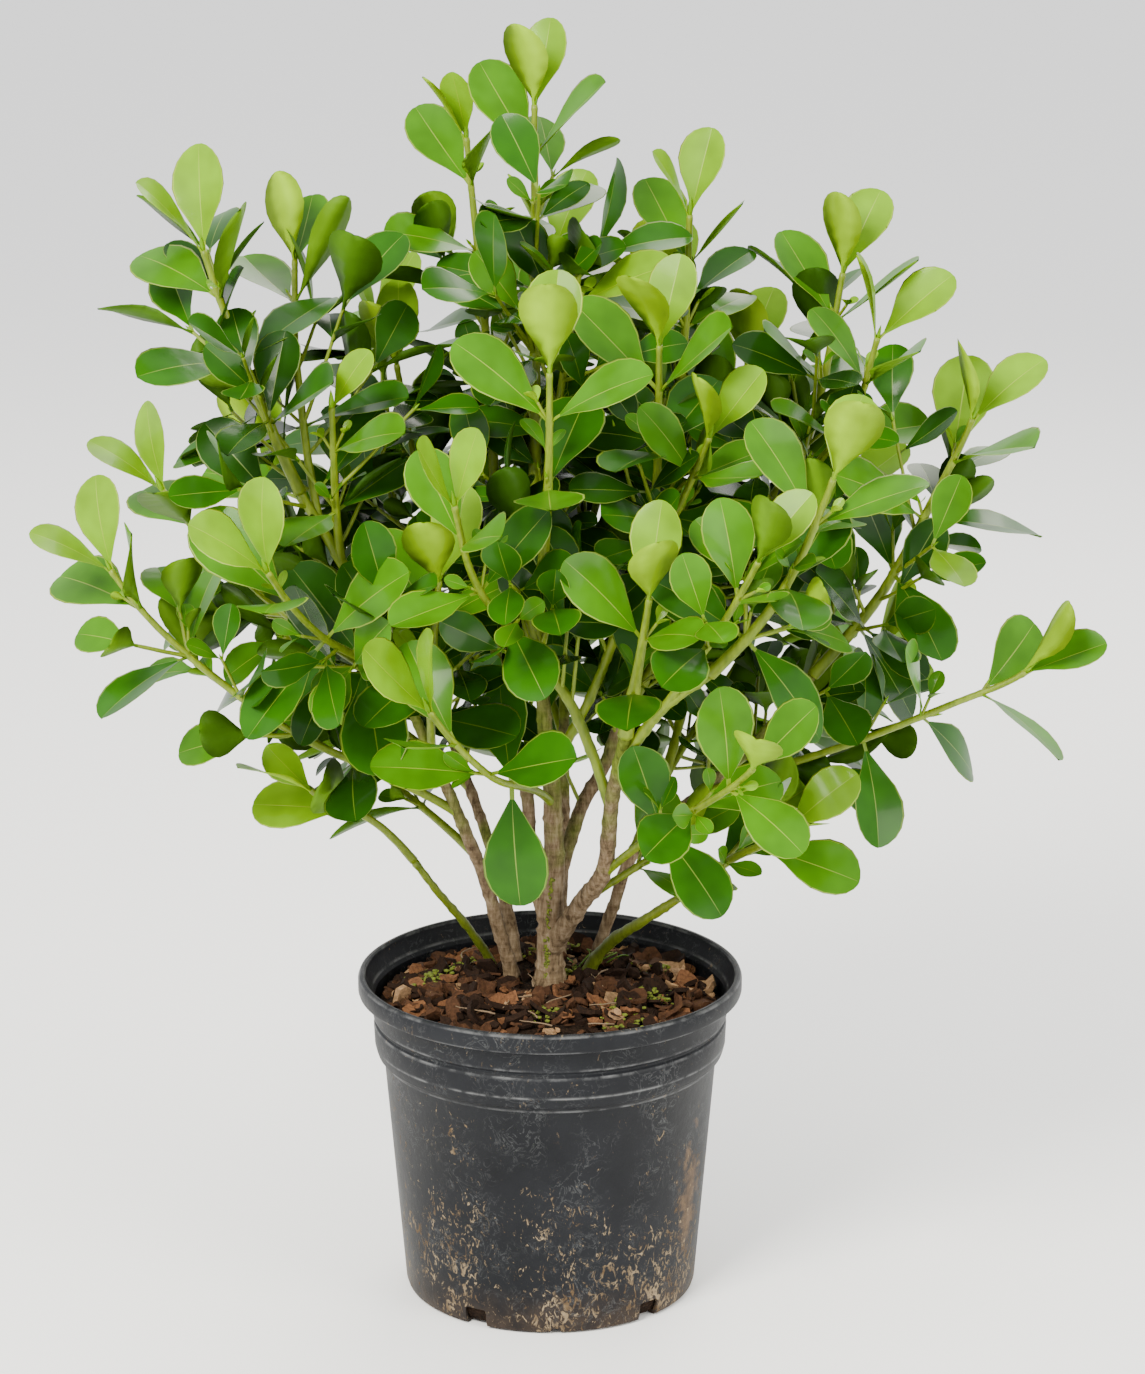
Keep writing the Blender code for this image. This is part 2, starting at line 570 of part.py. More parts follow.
def main():
    for thing in list(bpy.data.objects):
        bpy.data.objects.remove(thing)
    finishes = {
        "pot": material("pot_plastic", (0.035, 0.037, 0.042), 0.55),
        "soil": material("bark_soil", (0.085, 0.042, 0.022), 0.95),
        "bark": material("stem_bark", (0.26, 0.17, 0.095), 0.8),
        "green_stem": material("green_stem", (0.22, 0.30, 0.05), 0.55),
        "leaf": material("clusia_leaf", (0.07, 0.21, 0.025), 0.35),
    }
    make_pot(finishes["pot"])
    make_root_ball(finishes["soil"])
    make_foliage(make_limbs(finishes), finishes["leaf"])


main()
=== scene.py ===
# %% [markdown]
# # A clusia shrub in a nursery pot
#
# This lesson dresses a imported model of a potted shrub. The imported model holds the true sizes:
# where the pot stands, where each stem runs and how far the foliage reaches. Every piece that
# is made here takes its place from it. Metres, +Z up, and -Y is the front.

import math
import random

import bmesh
import bpy
import numpy as np
from mathutils import Matrix, Vector, noise
from mathutils.bvhtree import BVHTree


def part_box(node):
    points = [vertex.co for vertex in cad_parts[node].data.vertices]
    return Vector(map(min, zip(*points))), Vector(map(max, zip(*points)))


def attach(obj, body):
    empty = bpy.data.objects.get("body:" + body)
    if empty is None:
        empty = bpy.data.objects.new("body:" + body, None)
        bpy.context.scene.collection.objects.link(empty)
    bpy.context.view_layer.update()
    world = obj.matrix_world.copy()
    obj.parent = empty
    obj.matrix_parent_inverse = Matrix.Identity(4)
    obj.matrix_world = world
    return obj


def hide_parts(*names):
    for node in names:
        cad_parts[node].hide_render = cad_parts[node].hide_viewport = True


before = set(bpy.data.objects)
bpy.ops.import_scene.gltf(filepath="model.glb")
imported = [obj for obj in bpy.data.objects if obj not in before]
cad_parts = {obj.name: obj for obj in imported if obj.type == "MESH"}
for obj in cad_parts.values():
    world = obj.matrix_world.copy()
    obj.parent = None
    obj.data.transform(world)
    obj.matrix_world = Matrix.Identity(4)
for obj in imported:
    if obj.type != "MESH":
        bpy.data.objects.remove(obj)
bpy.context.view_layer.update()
print("nodes in the model:", len(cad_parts))

# %% Two short helpers


def mesh_of(name, bm):
    """A mesh with what the bmesh holds; the bmesh is freed."""
    mesh = bpy.data.meshes.new(name)
    bm.to_mesh(mesh)
    bm.free()
    return mesh


def shown(name, data):
    """An object with this data, linked to the scene."""
    thing = bpy.data.objects.new(name, data)
    bpy.context.scene.collection.objects.link(thing)
    return thing


print("helpers ready")

# %% [markdown]
# ## The camera, the light and the floor
#
# The picture was taken from a little above the rim of the pot, with a long lens that keeps the
# plant's proportions. Soft light comes from a large lamp high on the left, a weaker one on the
# right fills the shade, and a pale world lights the rest, as in a photographer's white tent.

# %% Camera
CAMERA_PLACE = (0.0164, -2.90, 1.26)
CAMERA_PITCH = 15.53
LENS = 110.17
FRAME_HEIGHT = 36.0


def make_camera():
    data = bpy.data.cameras.new("camera")
    data.sensor_fit = "VERTICAL"
    data.sensor_height = FRAME_HEIGHT
    data.lens = LENS
    camera = shown("camera", data)
    camera.location = CAMERA_PLACE
    camera.rotation_euler = (math.radians(90.0 - CAMERA_PITCH), 0.0, 0.0)
    bpy.context.scene.camera = camera


make_camera()
print("camera at", CAMERA_PLACE)

# %% Lights and world
LAMPS = {
    "key": ((-1.3, -2.1, 2.5), (0.0, 0.0, 0.45), 1.2, 195.0),
    "fill": ((2.2, -1.6, 1.4), (0.0, 0.0, 0.45), 1.4, 58.0),
    "rim": ((0.6, 2.2, 2.2), (0.0, 0.0, 0.55), 1.6, 50.0),
}
LAMP_COLOUR = (1.0, 0.965, 0.86)
WORLD_LIGHT = 1.55


def make_lights():
    for name, (place, target, size, power) in LAMPS.items():
        data = bpy.data.lights.new(name, "AREA")
        data.size = size
        data.energy = power
        data.color = LAMP_COLOUR
        lamp = shown(name, data)
        lamp.location = place
        aim = Vector(target) - Vector(place)
        lamp.rotation_euler = aim.to_track_quat("-Z", "Y").to_euler()
    world = bpy.data.worlds.new("white tent")
    world.use_nodes = True
    background = world.node_tree.nodes["Background"]
    background.inputs["Color"].default_value = (1.0, 1.0, 1.0, 1.0)
    background.inputs["Strength"].default_value = WORLD_LIGHT
    bpy.context.scene.world = world


make_lights()
print("lamps:", ", ".join(LAMPS))

# %% [markdown]
# ## Helpers for materials
#
# Every finish is a Principled shader fed by a few procedural nodes. One helper makes the shader,
# and small ones add noise, a colour ramp and a bump, all on Object coordinates, so a pattern
# stays where it is on the piece.

# %% Material helpers


class Finish:
    """A Principled material, with short ways to add procedural nodes to it."""

    def __init__(self, name, colour, roughness, **settings):
        self.material = bpy.data.materials.new(name)
        self.material.use_nodes = True
        self.tree = self.material.node_tree
        self.shader = self.tree.nodes["Principled BSDF"]
        self.shader.inputs["Base Color"].default_value = (*colour, 1.0)
        self.shader.inputs["Roughness"].default_value = roughness
        for socket, value in settings.items():
            self.shader.inputs[socket.replace("_", " ")].default_value = value
        self.place = self.node("ShaderNodeTexCoord").outputs["Object"]

    def node(self, kind, **values):
        made = self.tree.nodes.new(kind)
        for name, value in values.items():
            setattr(made, name, value)
        return made

    def link(self, output, target):
        self.tree.links.new(output, target)

    def stretched(self, scale):
        """Object coordinates scaled by a different amount along each axis."""
        mapping = self.node("ShaderNodeMapping")
        mapping.inputs["Scale"].default_value = scale
        self.link(self.place, mapping.inputs["Vector"])
        return mapping.outputs["Vector"]

    def noise(self, scale, detail=4.0, roughness=0.55, where=None, distortion=0.0):
        made = self.node("ShaderNodeTexNoise")
        made.inputs["Distortion"].default_value = distortion
        made.inputs["Scale"].default_value = scale
        made.inputs["Detail"].default_value = detail
        made.inputs["Roughness"].default_value = roughness
        self.link(where or self.place, made.inputs["Vector"])
        return made.outputs["Fac"]

    def ramp(self, value, stops):
        """A colour ramp through (place, colour) stops."""
        made = self.node("ShaderNodeValToRGB")
        band = made.color_ramp
        while len(band.elements) < len(stops):
            band.elements.new(0.5)
        for element, (place, colour) in zip(band.elements, stops):
            element.position = place
            element.color = (*colour, 1.0)
        self.link(value, made.inputs["Fac"])
        return made.outputs["Color"]

    def level(self, value, low, high, out_low=0.0, out_high=1.0):
        """Maps low..high of a value to out_low..out_high, clamped."""
        made = self.node("ShaderNodeMapRange")
        for index, number in ((1, low), (2, high), (3, out_low), (4, out_high)):
            made.inputs[index].default_value = number
        self.link(value, made.inputs[0])
        return made.outputs[0]

    def height(self):
        """How high each place is, in metres."""
        split = self.node("ShaderNodeSeparateXYZ")
        self.link(self.place, split.inputs[0])
        return split.outputs["Z"]

    def math(self, operation, a, b):
        made = self.node("ShaderNodeMath", operation=operation, use_clamp=True)
        for socket, value in zip(made.inputs, (a, b)):
            if isinstance(value, float):
                socket.default_value = value
            else:
                self.link(value, socket)
        return made.outputs[0]

    def mix(self, share, under, over):
        made = self.node("ShaderNodeMix", data_type="RGBA")
        self.link(share, made.inputs[0])
        for socket, colour in ((made.inputs[6], under), (made.inputs[7], over)):
            if isinstance(colour, tuple):
                socket.default_value = (*colour, 1.0)
            else:
                self.link(colour, socket)
        return made.outputs[2]

    def colour(self, output):
        self.link(output, self.shader.inputs["Base Color"])

    def rough(self, output):
        self.link(output, self.shader.inputs["Roughness"])

    def bump(self, output, depth, strength=1.0):
        made = self.node("ShaderNodeBump")
        made.inputs["Distance"].default_value = depth
        made.inputs["Strength"].default_value = strength
        self.link(output, made.inputs["Height"])
        self.link(made.outputs["Normal"], self.shader.inputs["Normal"])


print("material helpers ready")

# %% The floor
FLOOR_HALF = 40.0
FLOOR_DROP = 0.0005


def make_floor():
    finish = Finish("studio_floor", (0.93, 0.93, 0.93), 0.8)
    bm = bmesh.new()
    bmesh.ops.create_grid(bm, x_segments=1, y_segments=1, size=FLOOR_HALF)
    floor = shown("floor", mesh_of("floor", bm))
    floor.data.materials.append(finish.material)
    floor.location.z = -FLOOR_DROP


make_floor()
print("floor laid")

# %% [markdown]
# ## How the shrub grows
#
# The stems of the real plant leave the soil in a bunch and spread like a vase. The same table
# that the solids were made from is written again here: what carries each stem, the points that
# it passes through and its radius. A smooth curve through the points gives each stem its path.

# %% The limbs
GAP = 0.0003
SOIL_HEIGHT = 0.226
TIP_LIFT = 0.5

LIMBS = {
    "trunk": (None, 0, [(0.000, 0.012), (0.000, 0.008, 0.262), (0.003, 0.005, 0.32),
              (0.001, 0.004, 0.38), (-0.006, 0.006, 0.45)], 0.0120, 0.0055),
    "left_bough": (None, 0, [(-0.028, 0.022), (-0.038, 0.010, 0.27), (-0.050, -0.006, 0.32),
                   (-0.085, -0.030, 0.416), (-0.129, -0.050, 0.524)], 0.0080, 0.0048),
    "far_left_bough": (None, 0, [(-0.042, 0.038), (-0.058, 0.022, 0.262), (-0.082, 0.002, 0.30),
                       (-0.098, -0.008, 0.326)], 0.0038, 0.0028),
    "low_right_bough": (None, 0, [(0.028, 0.032), (0.044, 0.018, 0.255), (0.066, -0.004, 0.278),
                        (0.094, -0.020, 0.302)], 0.0055, 0.0036),
    "back_right_bough": (None, 0, [(0.034, 0.058), (0.046, 0.050, 0.27), (0.066, 0.040, 0.322),
                         (0.138, 0.034, 0.391), (0.190, 0.028, 0.455)], 0.0062, 0.0040),
    "back_left_bough": (None, 0, [(-0.026, 0.060), (-0.042, 0.078, 0.30), (-0.072, 0.105, 0.38),
                        (-0.098, 0.126, 0.45)], 0.0062, 0.0040),
    "back_middle_bough": (None, 0, [(0.006, 0.066), (0.010, 0.092, 0.31), (0.010, 0.122, 0.40),
                          (0.008, 0.146, 0.48)], 0.0062, 0.0040),
    "centre_left_bough": ("trunk", 0.15, [(-0.014, 0.012, 0.32), (-0.017, 0.016, 0.37),
                          (-0.034, 0.026, 0.42), (-0.041, 0.036, 0.50)], 0.0066, 0.0040),
    "front_right_bough": ("trunk", 0.10, [(0.022, -0.020, 0.297), (0.039, -0.050, 0.333),
                          (0.044, -0.080, 0.394), (0.053, -0.110, 0.450)], 0.0085, 0.0050),
    "right_centre_bough": ("trunk", 0.28, [(0.022, 0.030, 0.353), (0.040, 0.040, 0.385),
                           (0.062, 0.052, 0.45), (0.074, 0.060, 0.503)], 0.0066, 0.0042),
    "inner_right_bough": ("trunk", 0.72, [(0.030, -0.006, 0.45), (0.055, -0.018, 0.52)],
                          0.0046, 0.0036),
    "leader_bough": ("trunk", 1, [(-0.009, 0.010, 0.53), (-0.010, 0.013, 0.59)], 0.0055, 0.0042),
    "right_front_bough": ("front_right_bough", 0.86, [(0.077, -0.122, 0.471),
                          (0.110, -0.134, 0.500)], 0.0046, 0.0038),
    "inner_front_bough": ("front_right_bough", 0.70, [(0.020, -0.084, 0.455),
                          (-0.012, -0.082, 0.516), (-0.005, -0.096, 0.560)], 0.0046, 0.0036),
    "left_high_bough": ("left_bough", 1, [(-0.143, -0.052, 0.556), (-0.172, -0.052, 0.608)],
                        0.0047, 0.0038),
    "right_high_bough": ("right_centre_bough", 0.52, [(0.100, 0.062, 0.50),
                         (0.146, 0.056, 0.560)], 0.0046, 0.0037),
    "back_far_bough": ("back_right_bough", 0.30, [(0.086, 0.076, 0.37), (0.104, 0.112, 0.43)],
                       0.0048, 0.0038),
}
print(len(LIMBS), "limbs")

# %% [markdown]
# Each mass of foliage is a shoot. Its row says what carries it, where it starts, the points
# between, its tip, which way its last pair of leaves points (0 is sideways, 90 is front to
# back), how long its full leaves are, and how many pairs it bears at most.

# %% The masses of foliage
MASSES = {
    "crown_leader": ("leader_bough", 1, [(-0.010, 0.016, 0.70)], (-0.010, 0.020, 0.868), 62, 0.082, 6),
    "top_left": ("centre_left_bough", 1, [(-0.040, 0.045, 0.60), (-0.046, 0.050, 0.71)],
                 (-0.058, 0.050, 0.841), 40, 0.074, 7),
    "top_right": ("right_centre_bough", 1, [(0.088, 0.055, 0.60), (0.096, 0.042, 0.70)],
                  (0.099, 0.040, 0.788), 40, 0.076, 6),
    "upper_middle": ("leader_bough", 0.72, [], (0.022, -0.012, 0.765), 70, 0.080, 5),
    "front_middle": ("inner_front_bough", 1, [(0.000, -0.112, 0.631)], (0.001, -0.122, 0.707),
                     82, 0.090, 5),
    "front_upper_right": ("inner_right_bough", 1, [(0.074, -0.032, 0.60)], (0.076, -0.060, 0.714),
                          60, 0.086, 6),
    "right_top": ("right_high_bough", 1, [(0.186, 0.046, 0.63)], (0.208, 0.050, 0.745), 55, 0.082, 5),
    "right_top_outer": ("right_high_bough", 0.74, [(0.205, 0.012, 0.635)], (0.230, 0.000, 0.708),
                        25, 0.082, 5),
    "right_front": ("right_front_bough", 1, [(0.157, -0.147, 0.560)], (0.191, -0.152, 0.641),
                    78, 0.088, 5),
    "right_front_inner": ("right_front_bough", 0.62, [], (0.140, -0.185, 0.592), 50, 0.076, 3),
    "right_outer": ("back_right_bough", 1, [(0.237, 0.020, 0.517), (0.272, 0.008, 0.59)],
                    (0.298, 0.000, 0.650), 20, 0.088, 6),
    "right_far": ("back_right_bough", 0.55, [(0.218, -0.020, 0.419), (0.283, -0.040, 0.452)],
                  (0.335, -0.050, 0.479), 10, 0.080, 4),
    "front_right": ("front_right_bough", 1, [], (0.068, -0.160, 0.560), 85, 0.086, 3),
    "front_low_right": ("front_right_bough", 0.42, [(0.077, -0.100, 0.378)], (0.138, -0.190, 0.450),
                        40, 0.076, 4),
    "right_low": ("low_right_bough", 1, [(0.129, -0.040, 0.337)], (0.168, -0.080, 0.372), 60, 0.082, 3),
    "left_top": ("left_high_bough", 1, [(-0.206, -0.050, 0.690)], (-0.236, -0.050, 0.778), 40, 0.088, 5),
    "left_top_inner": ("left_high_bough", 0.72, [(-0.176, -0.010, 0.69)], (-0.180, 0.045, 0.755),
                       55, 0.084, 5),
    "left_back": ("left_bough", 0.76, [(-0.207, 0.030, 0.514)], (-0.278, 0.050, 0.587), 15, 0.080, 5),
    "left_low": ("far_left_bough", 1, [(-0.126, -0.022, 0.360)], (-0.170, -0.036, 0.388), 70, 0.078, 3),
    "left_outer": ("left_bough", 0.46, [(-0.114, -0.034, 0.397), (-0.186, -0.050, 0.438),
                   (-0.262, -0.050, 0.499)], (-0.306, -0.050, 0.553), 30, 0.086, 6),
    "left_inner": ("left_high_bough", 0.40, [], (-0.148, -0.085, 0.676), 60, 0.080, 4),
    "left_middle": ("centre_left_bough", 0.60, [(-0.085, 0.050, 0.56)], (-0.109, 0.050, 0.679),
                    70, 0.080, 5),
    "front_left": ("inner_front_bough", 0.60, [(-0.046, -0.140, 0.560)], (-0.062, -0.180, 0.629),
                   30, 0.074, 4),
    "front_far_left": ("left_bough", 0.82, [(-0.156, -0.110, 0.521)], (-0.189, -0.150, 0.576),
                       25, 0.088, 4),
    "front_low_left": ("trunk", 0.62, [(-0.040, -0.125, 0.425)], (-0.080, -0.170, 0.484), 5, 0.086, 4),
    "front_low": ("front_right_bough", 0.26, [], (0.088, -0.040, 0.352), 20, 0.066, 2),
    "inner_right": ("inner_right_bough", 0.80, [], (0.110, -0.085, 0.655), 30, 0.078, 4),
    "inner_left": ("left_bough", 0.62, [(-0.080, -0.085, 0.50)], (-0.075, -0.110, 0.56), 60, 0.082, 4),
    "back_top": ("back_middle_bough", 1, [(0.004, 0.162, 0.59)], (0.000, 0.175, 0.735), 30, 0.086, 6),
    "back_upper_right": ("back_middle_bough", 0.90, [(0.040, 0.135, 0.58)], (0.070, 0.150, 0.700),
                         55, 0.086, 5),
    "back_middle_right": ("back_middle_bough", 0.72, [], (0.055, 0.225, 0.570), 10, 0.086, 4),
    "back_middle_left": ("back_middle_bough", 0.60, [], (-0.045, 0.228, 0.520), 80, 0.086, 4),
    "back_upper_left": ("back_left_bough", 1, [(-0.115, 0.145, 0.54)], (-0.125, 0.160, 0.680),
                        15, 0.086, 6),
    "back_left": ("back_left_bough", 0.88, [], (-0.205, 0.165, 0.585), 50, 0.086, 4),
    "back_low_left": ("back_left_bough", 0.54, [], (-0.180, 0.120, 0.450), 20, 0.082, 4),
    "back_low_middle": ("back_middle_bough", 0.42, [], (-0.030, 0.200, 0.395), 40, 0.082, 3),
    "back_far_right": ("back_far_bough", 1, [(0.124, 0.142, 0.52)], (0.145, 0.160, 0.655), 65, 0.086, 6),
    "back_right": ("back_far_bough", 0.86, [], (0.215, 0.150, 0.560), 25, 0.086, 4),
    "back_low_right": ("back_far_bough", 0.44, [], (0.160, 0.190, 0.455), 70, 0.082, 4),
    "side_low_right": ("back_right_bough", 0.66, [], (0.238, 0.082, 0.452), 35, 0.080, 3),
    "side_low_left": ("left_bough", 0.34, [], (-0.150, 0.060, 0.400), 35, 0.080, 3),
}
print(len(MASSES), "masses of foliage")

# %% Paths of the stems
PATH_STEP = 0.006
TAPER = 0.8


def smooth_path(points, lead, tail, spacing):
    """A Catmull-Rom curve through the points, which leaves along lead and arrives along tail."""
    first = points[0] - lead.normalized() * (points[1] - points[0]).length
    last = points[-1] + tail.normalized() * (points[-1] - points[-2]).length
    ghost = [first, *points, last]
    path = [points[0].copy()]
    for p0, p1, p2, p3 in zip(ghost, ghost[1:], ghost[2:], ghost[3:]):
        steps = max(1, round((p2 - p1).length / spacing))
        for step in range(1, steps + 1):
            t = step / steps
            path.append(0.5 * (2 * p1 + (p2 - p0) * t + (2 * p0 - 5 * p1 + 4 * p2 - p3) * t * t
                               + (3 * p1 - p0 - 3 * p2 + p3) * t ** 3))
    return path


class Stem:
    """A tapering stem along a smooth path."""

    def __init__(self, points, lead, tail, foot_radius, tip_radius):
        self.path = smooth_path(points, lead, tail, PATH_STEP)
        self.ends = (lead.normalized(), tail.normalized())
        steps = [(b - a).length for a, b in zip(self.path, self.path[1:])]
        self.lengths = [0.0, *np.cumsum(steps).tolist()]
        self.length = self.lengths[-1]
        self.foot_radius = foot_radius
        self.tip_radius = tip_radius
        self.joints = []
        self.buried = 0.0

    def at(self, distance):
        """The point and the direction at this distance from the foot."""
        if distance <= 0.0:
            return self.path[0], self.ends[0]
        if distance >= self.length - 1e-7:
            return self.path[-1], self.ends[1]
        i = int(np.searchsorted(self.lengths, distance, side="right")) - 1
        share = (distance - self.lengths[i]) / (self.lengths[i + 1] - self.lengths[i])
        along = self.along(i).lerp(self.along(i + 1), share)
        return self.path[i].lerp(self.path[i + 1], share), along.normalized()

    def along(self, ring):
        if ring == 0:
            return self.ends[0]
        if ring == len(self.path) - 1:
            return self.ends[1]
        return (self.path[ring + 1] - self.path[ring - 1]).normalized()

    def radius(self, distance):
        share = min(max(distance / self.length, 0.0), 1.0)
        return self.foot_radius + (self.tip_radius - self.foot_radius) * share ** TAPER


def start_on(carrier, share, towards):
    """Where a stem starts on its carrier, and the direction in which it leaves."""
    point, along = carrier.at(share * carrier.length)
    if share == 1:
        return point + along * GAP, along
    return point, along * 0.55 + (towards - point).normalized() * 0.75


def grow_limbs():
    stems = {}
    for name, (carrier, share, places, foot_radius, tip_radius) in LIMBS.items():
        if carrier is None:
            foot = Vector((*places[0], SOIL_HEIGHT + GAP))
            points = [foot] + [Vector(place) for place in places[1:]]
            lead = Vector((0.0, 0.0, 1.0))
        else:
            points = [Vector(place) for place in places]
            foot, lead = start_on(stems[carrier], share, points[0])
            points.insert(0, foot)
        stems[name] = Stem(points, lead, points[-1] - points[-2], foot_radius, tip_radius)
    return stems


limbs = grow_limbs()
print("stems of", round(sum(stem.length for stem in limbs.values()), 2), "m in all")

# %% [markdown]
# ## Leaves in opposite pairs
#
# On a clusia the leaves stand in pairs, and each pair crosses the one below it. The youngest
# pair stands nearly upright; further down the leaves open out until they lie flat or hang. The
# rule walks down each shoot from its tip. Each leaf is tried where the rule puts it, and turned
# or shortened a little when it would cut into another leaf or a stem.

# %% Where the leaves go
SEED = 7
LEAF_RATIO = 0.56
LEAF_CLEARANCE = 0.0012
LEAF_THICKNESS = 0.0018
FIRST_INTERNODE = 0.032
INTERNODE = 0.047
BARE_FOOT = 0.022
PAIR_OPENINGS = (20, 42, 60, 72, 80)
SIDE_TWIG_CHANCE = 0.14
SIDE_TWIG_LENGTH = 0.036
SIDE_TWIG_OPENING = 40
SIDE_TWIG_RADIUS = 0.0017
SIDE_LEAF = 0.058
DROOP = 9.0
TIP_LEAF_SHARE = 0.84
SHOOT_RADIUS = 0.0028
SHOOT_TIP_RADIUS = 0.0018
ROOT_SINK = 0.0004
STALK = 0.012
LEAF_TRIES = ((0, 0, 1), (14, 0, 1), (-14, 0, 1), (0, -14, 1), (0, 12, 1),
              (28, -8, 0.9), (-28, -8, 0.9), (0, -22, 0.8), (45, 0, 0.8), (-45, 0, 0.8))


def leaf_shape(base, along, upper, length, grow=0.0):
    """Points and faces of a plain leaf, for the tests of what touches what."""
    across = along.cross(upper).normalized()
    half = length * LEAF_RATIO / 2 + grow
    thick = LEAF_THICKNESS + grow
    reach = length + grow
    points = [
        base + upper * thick * 0.5, base - upper * (thick * 0.5),
        base + along * 0.62 * reach + across * half, base + along * 0.62 * reach - across * half,
        base + along * reach + across * half * 0.42 - upper * 0.04 * length,
        base + along * reach - across * half * 0.42 - upper * 0.04 * length,
        base + along * 0.64 * reach + upper * (thick - 0.02 * length + grow),
    ]
    faces = [
        (0, 6, 2), (2, 6, 4), (4, 6, 5), (5, 6, 3), (3, 6, 0),
        (1, 2, 3), (2, 4, 5), (2, 5, 3), (0, 2, 1), (0, 1, 3),
    ]
    return points, faces


def leaf_frame(along_stem, azimuth, opening, droop=0.0):
    """The direction of a leaf and of its upper face, from the stem's direction."""
    sideways = Vector((1.0, 0.0, 0.0))
    sideways = (sideways - along_stem * sideways.dot(along_stem)).normalized()
    away = along_stem.cross(sideways)
    turn = math.radians(azimuth)
    outwards = math.cos(turn) * sideways + math.sin(turn) * away
    tilt = math.radians(opening)
    along = math.cos(tilt) * along_stem + math.sin(tilt) * outwards
    upper = math.sin(tilt) * along_stem - math.cos(tilt) * outwards
    hinge = along.cross(Vector((0.0, 0.0, -1.0)))
    if hinge.length > 0.05:
        turned_down = Matrix.Rotation(math.radians(droop), 3, hinge)
        along, upper = turned_down @ along, turned_down @ upper
    return along, upper


def joined(shapes):
    """The faces of several shapes, for tests of what touches what."""
    points, faces = [], []
    for shape_points, shape_faces in shapes:
        start = len(points)
        points += shape_points
        faces += [tuple(i + start for i in face) for face in shape_faces]
    return BVHTree.FromPolygons(points, faces)


def tube_shape(stem, spacing=0.02, sides=5, skip=0.0):
    """A plain tube round a stem, for the same tests."""
    count = max(2, round((stem.length - skip) / spacing))
    points, faces = [], []
    for ring in range(count + 1):
        distance = skip + (stem.length - skip) * ring / count
        centre, along = stem.at(distance)
        across = along.orthogonal().normalized()
        up = along.cross(across)
        radius = stem.radius(distance)
        for i in range(sides):
            turn = math.tau * i / sides
            points.append(centre + radius * (math.cos(turn) * across + math.sin(turn) * up))
        if ring:
            low = (ring - 1) * sides
            faces += [(low + i, low + (i + 1) % sides, low + sides + (i + 1) % sides, low + sides + i)
                      for i in range(sides)]
    return points, faces


print("leaf rule ready")

# %% Grow the masses


class Leaf:
    """Where one leaf sits, how it is turned, and how old it is: 0 is the youngest pair."""

    def __init__(self, root, along, upper, length, age):
        self.root = root
        self.along = along
        self.upper = upper
        self.length = length
        self.age = age


class Spray:
    """Twigs and leaves that stay clear of each other and of all that stands round them."""

    def __init__(self, dice):
        self.dice = dice
        self.twigs = []
        self.leaves = []
        self.blades = []
        self.tree = None

    def add_leaf(self, taken, base, stem_along, azimuth, opening, length, age, droop=0.0):
        """Puts a leaf where it is clear of all else, turned or shortened a little, or skips it."""
        for nudge, lift, shrink in LEAF_TRIES:
            along, upper = leaf_frame(stem_along, azimuth + nudge, opening + lift, droop)
            root = base - along * ROOT_SINK
            tree = BVHTree.FromPolygons(*leaf_shape(root, along, upper, length * shrink, LEAF_CLEARANCE))
            if any(other.overlap(tree) for other in taken):
                continue
            blade = leaf_shape(root + along * STALK, along, upper, length * shrink - STALK, GAP)
            if BVHTree.FromPolygons(*blade).overlap(joined(self.blades)):
                continue
            self.leaves.append(Leaf(root, along, upper, length * shrink, age))
            self.blades.append(blade)
            return True
        return False

    def add_twig(self, taken, base, heading, length, radius, lift=0.15):
        """A short straight twig, or none where it would touch something."""
        tip = base + heading * length + Vector((0.0, 0.0, lift * length))
        twig = Stem([base, tip], heading, tip - base, radius, radius * 0.82)
        if any(other.overlap(joined([tube_shape(twig)])) for other in taken):
            return None
        self.twigs.append(twig)
        return twig

    def shapes(self):
        found = [tube_shape(twig) for twig in self.twigs]
        return found + [leaf_shape(leaf.root, leaf.along, leaf.upper, leaf.length) for leaf in self.leaves]

    def settle(self):
        """Remembers all that has grown, so that what comes later stays clear of it."""
        speck = leaf_shape(Vector(), Vector((1, 0, 0)), Vector((0, 0, 1)), 1e-4)
        self.tree = joined(self.shapes() or [speck])


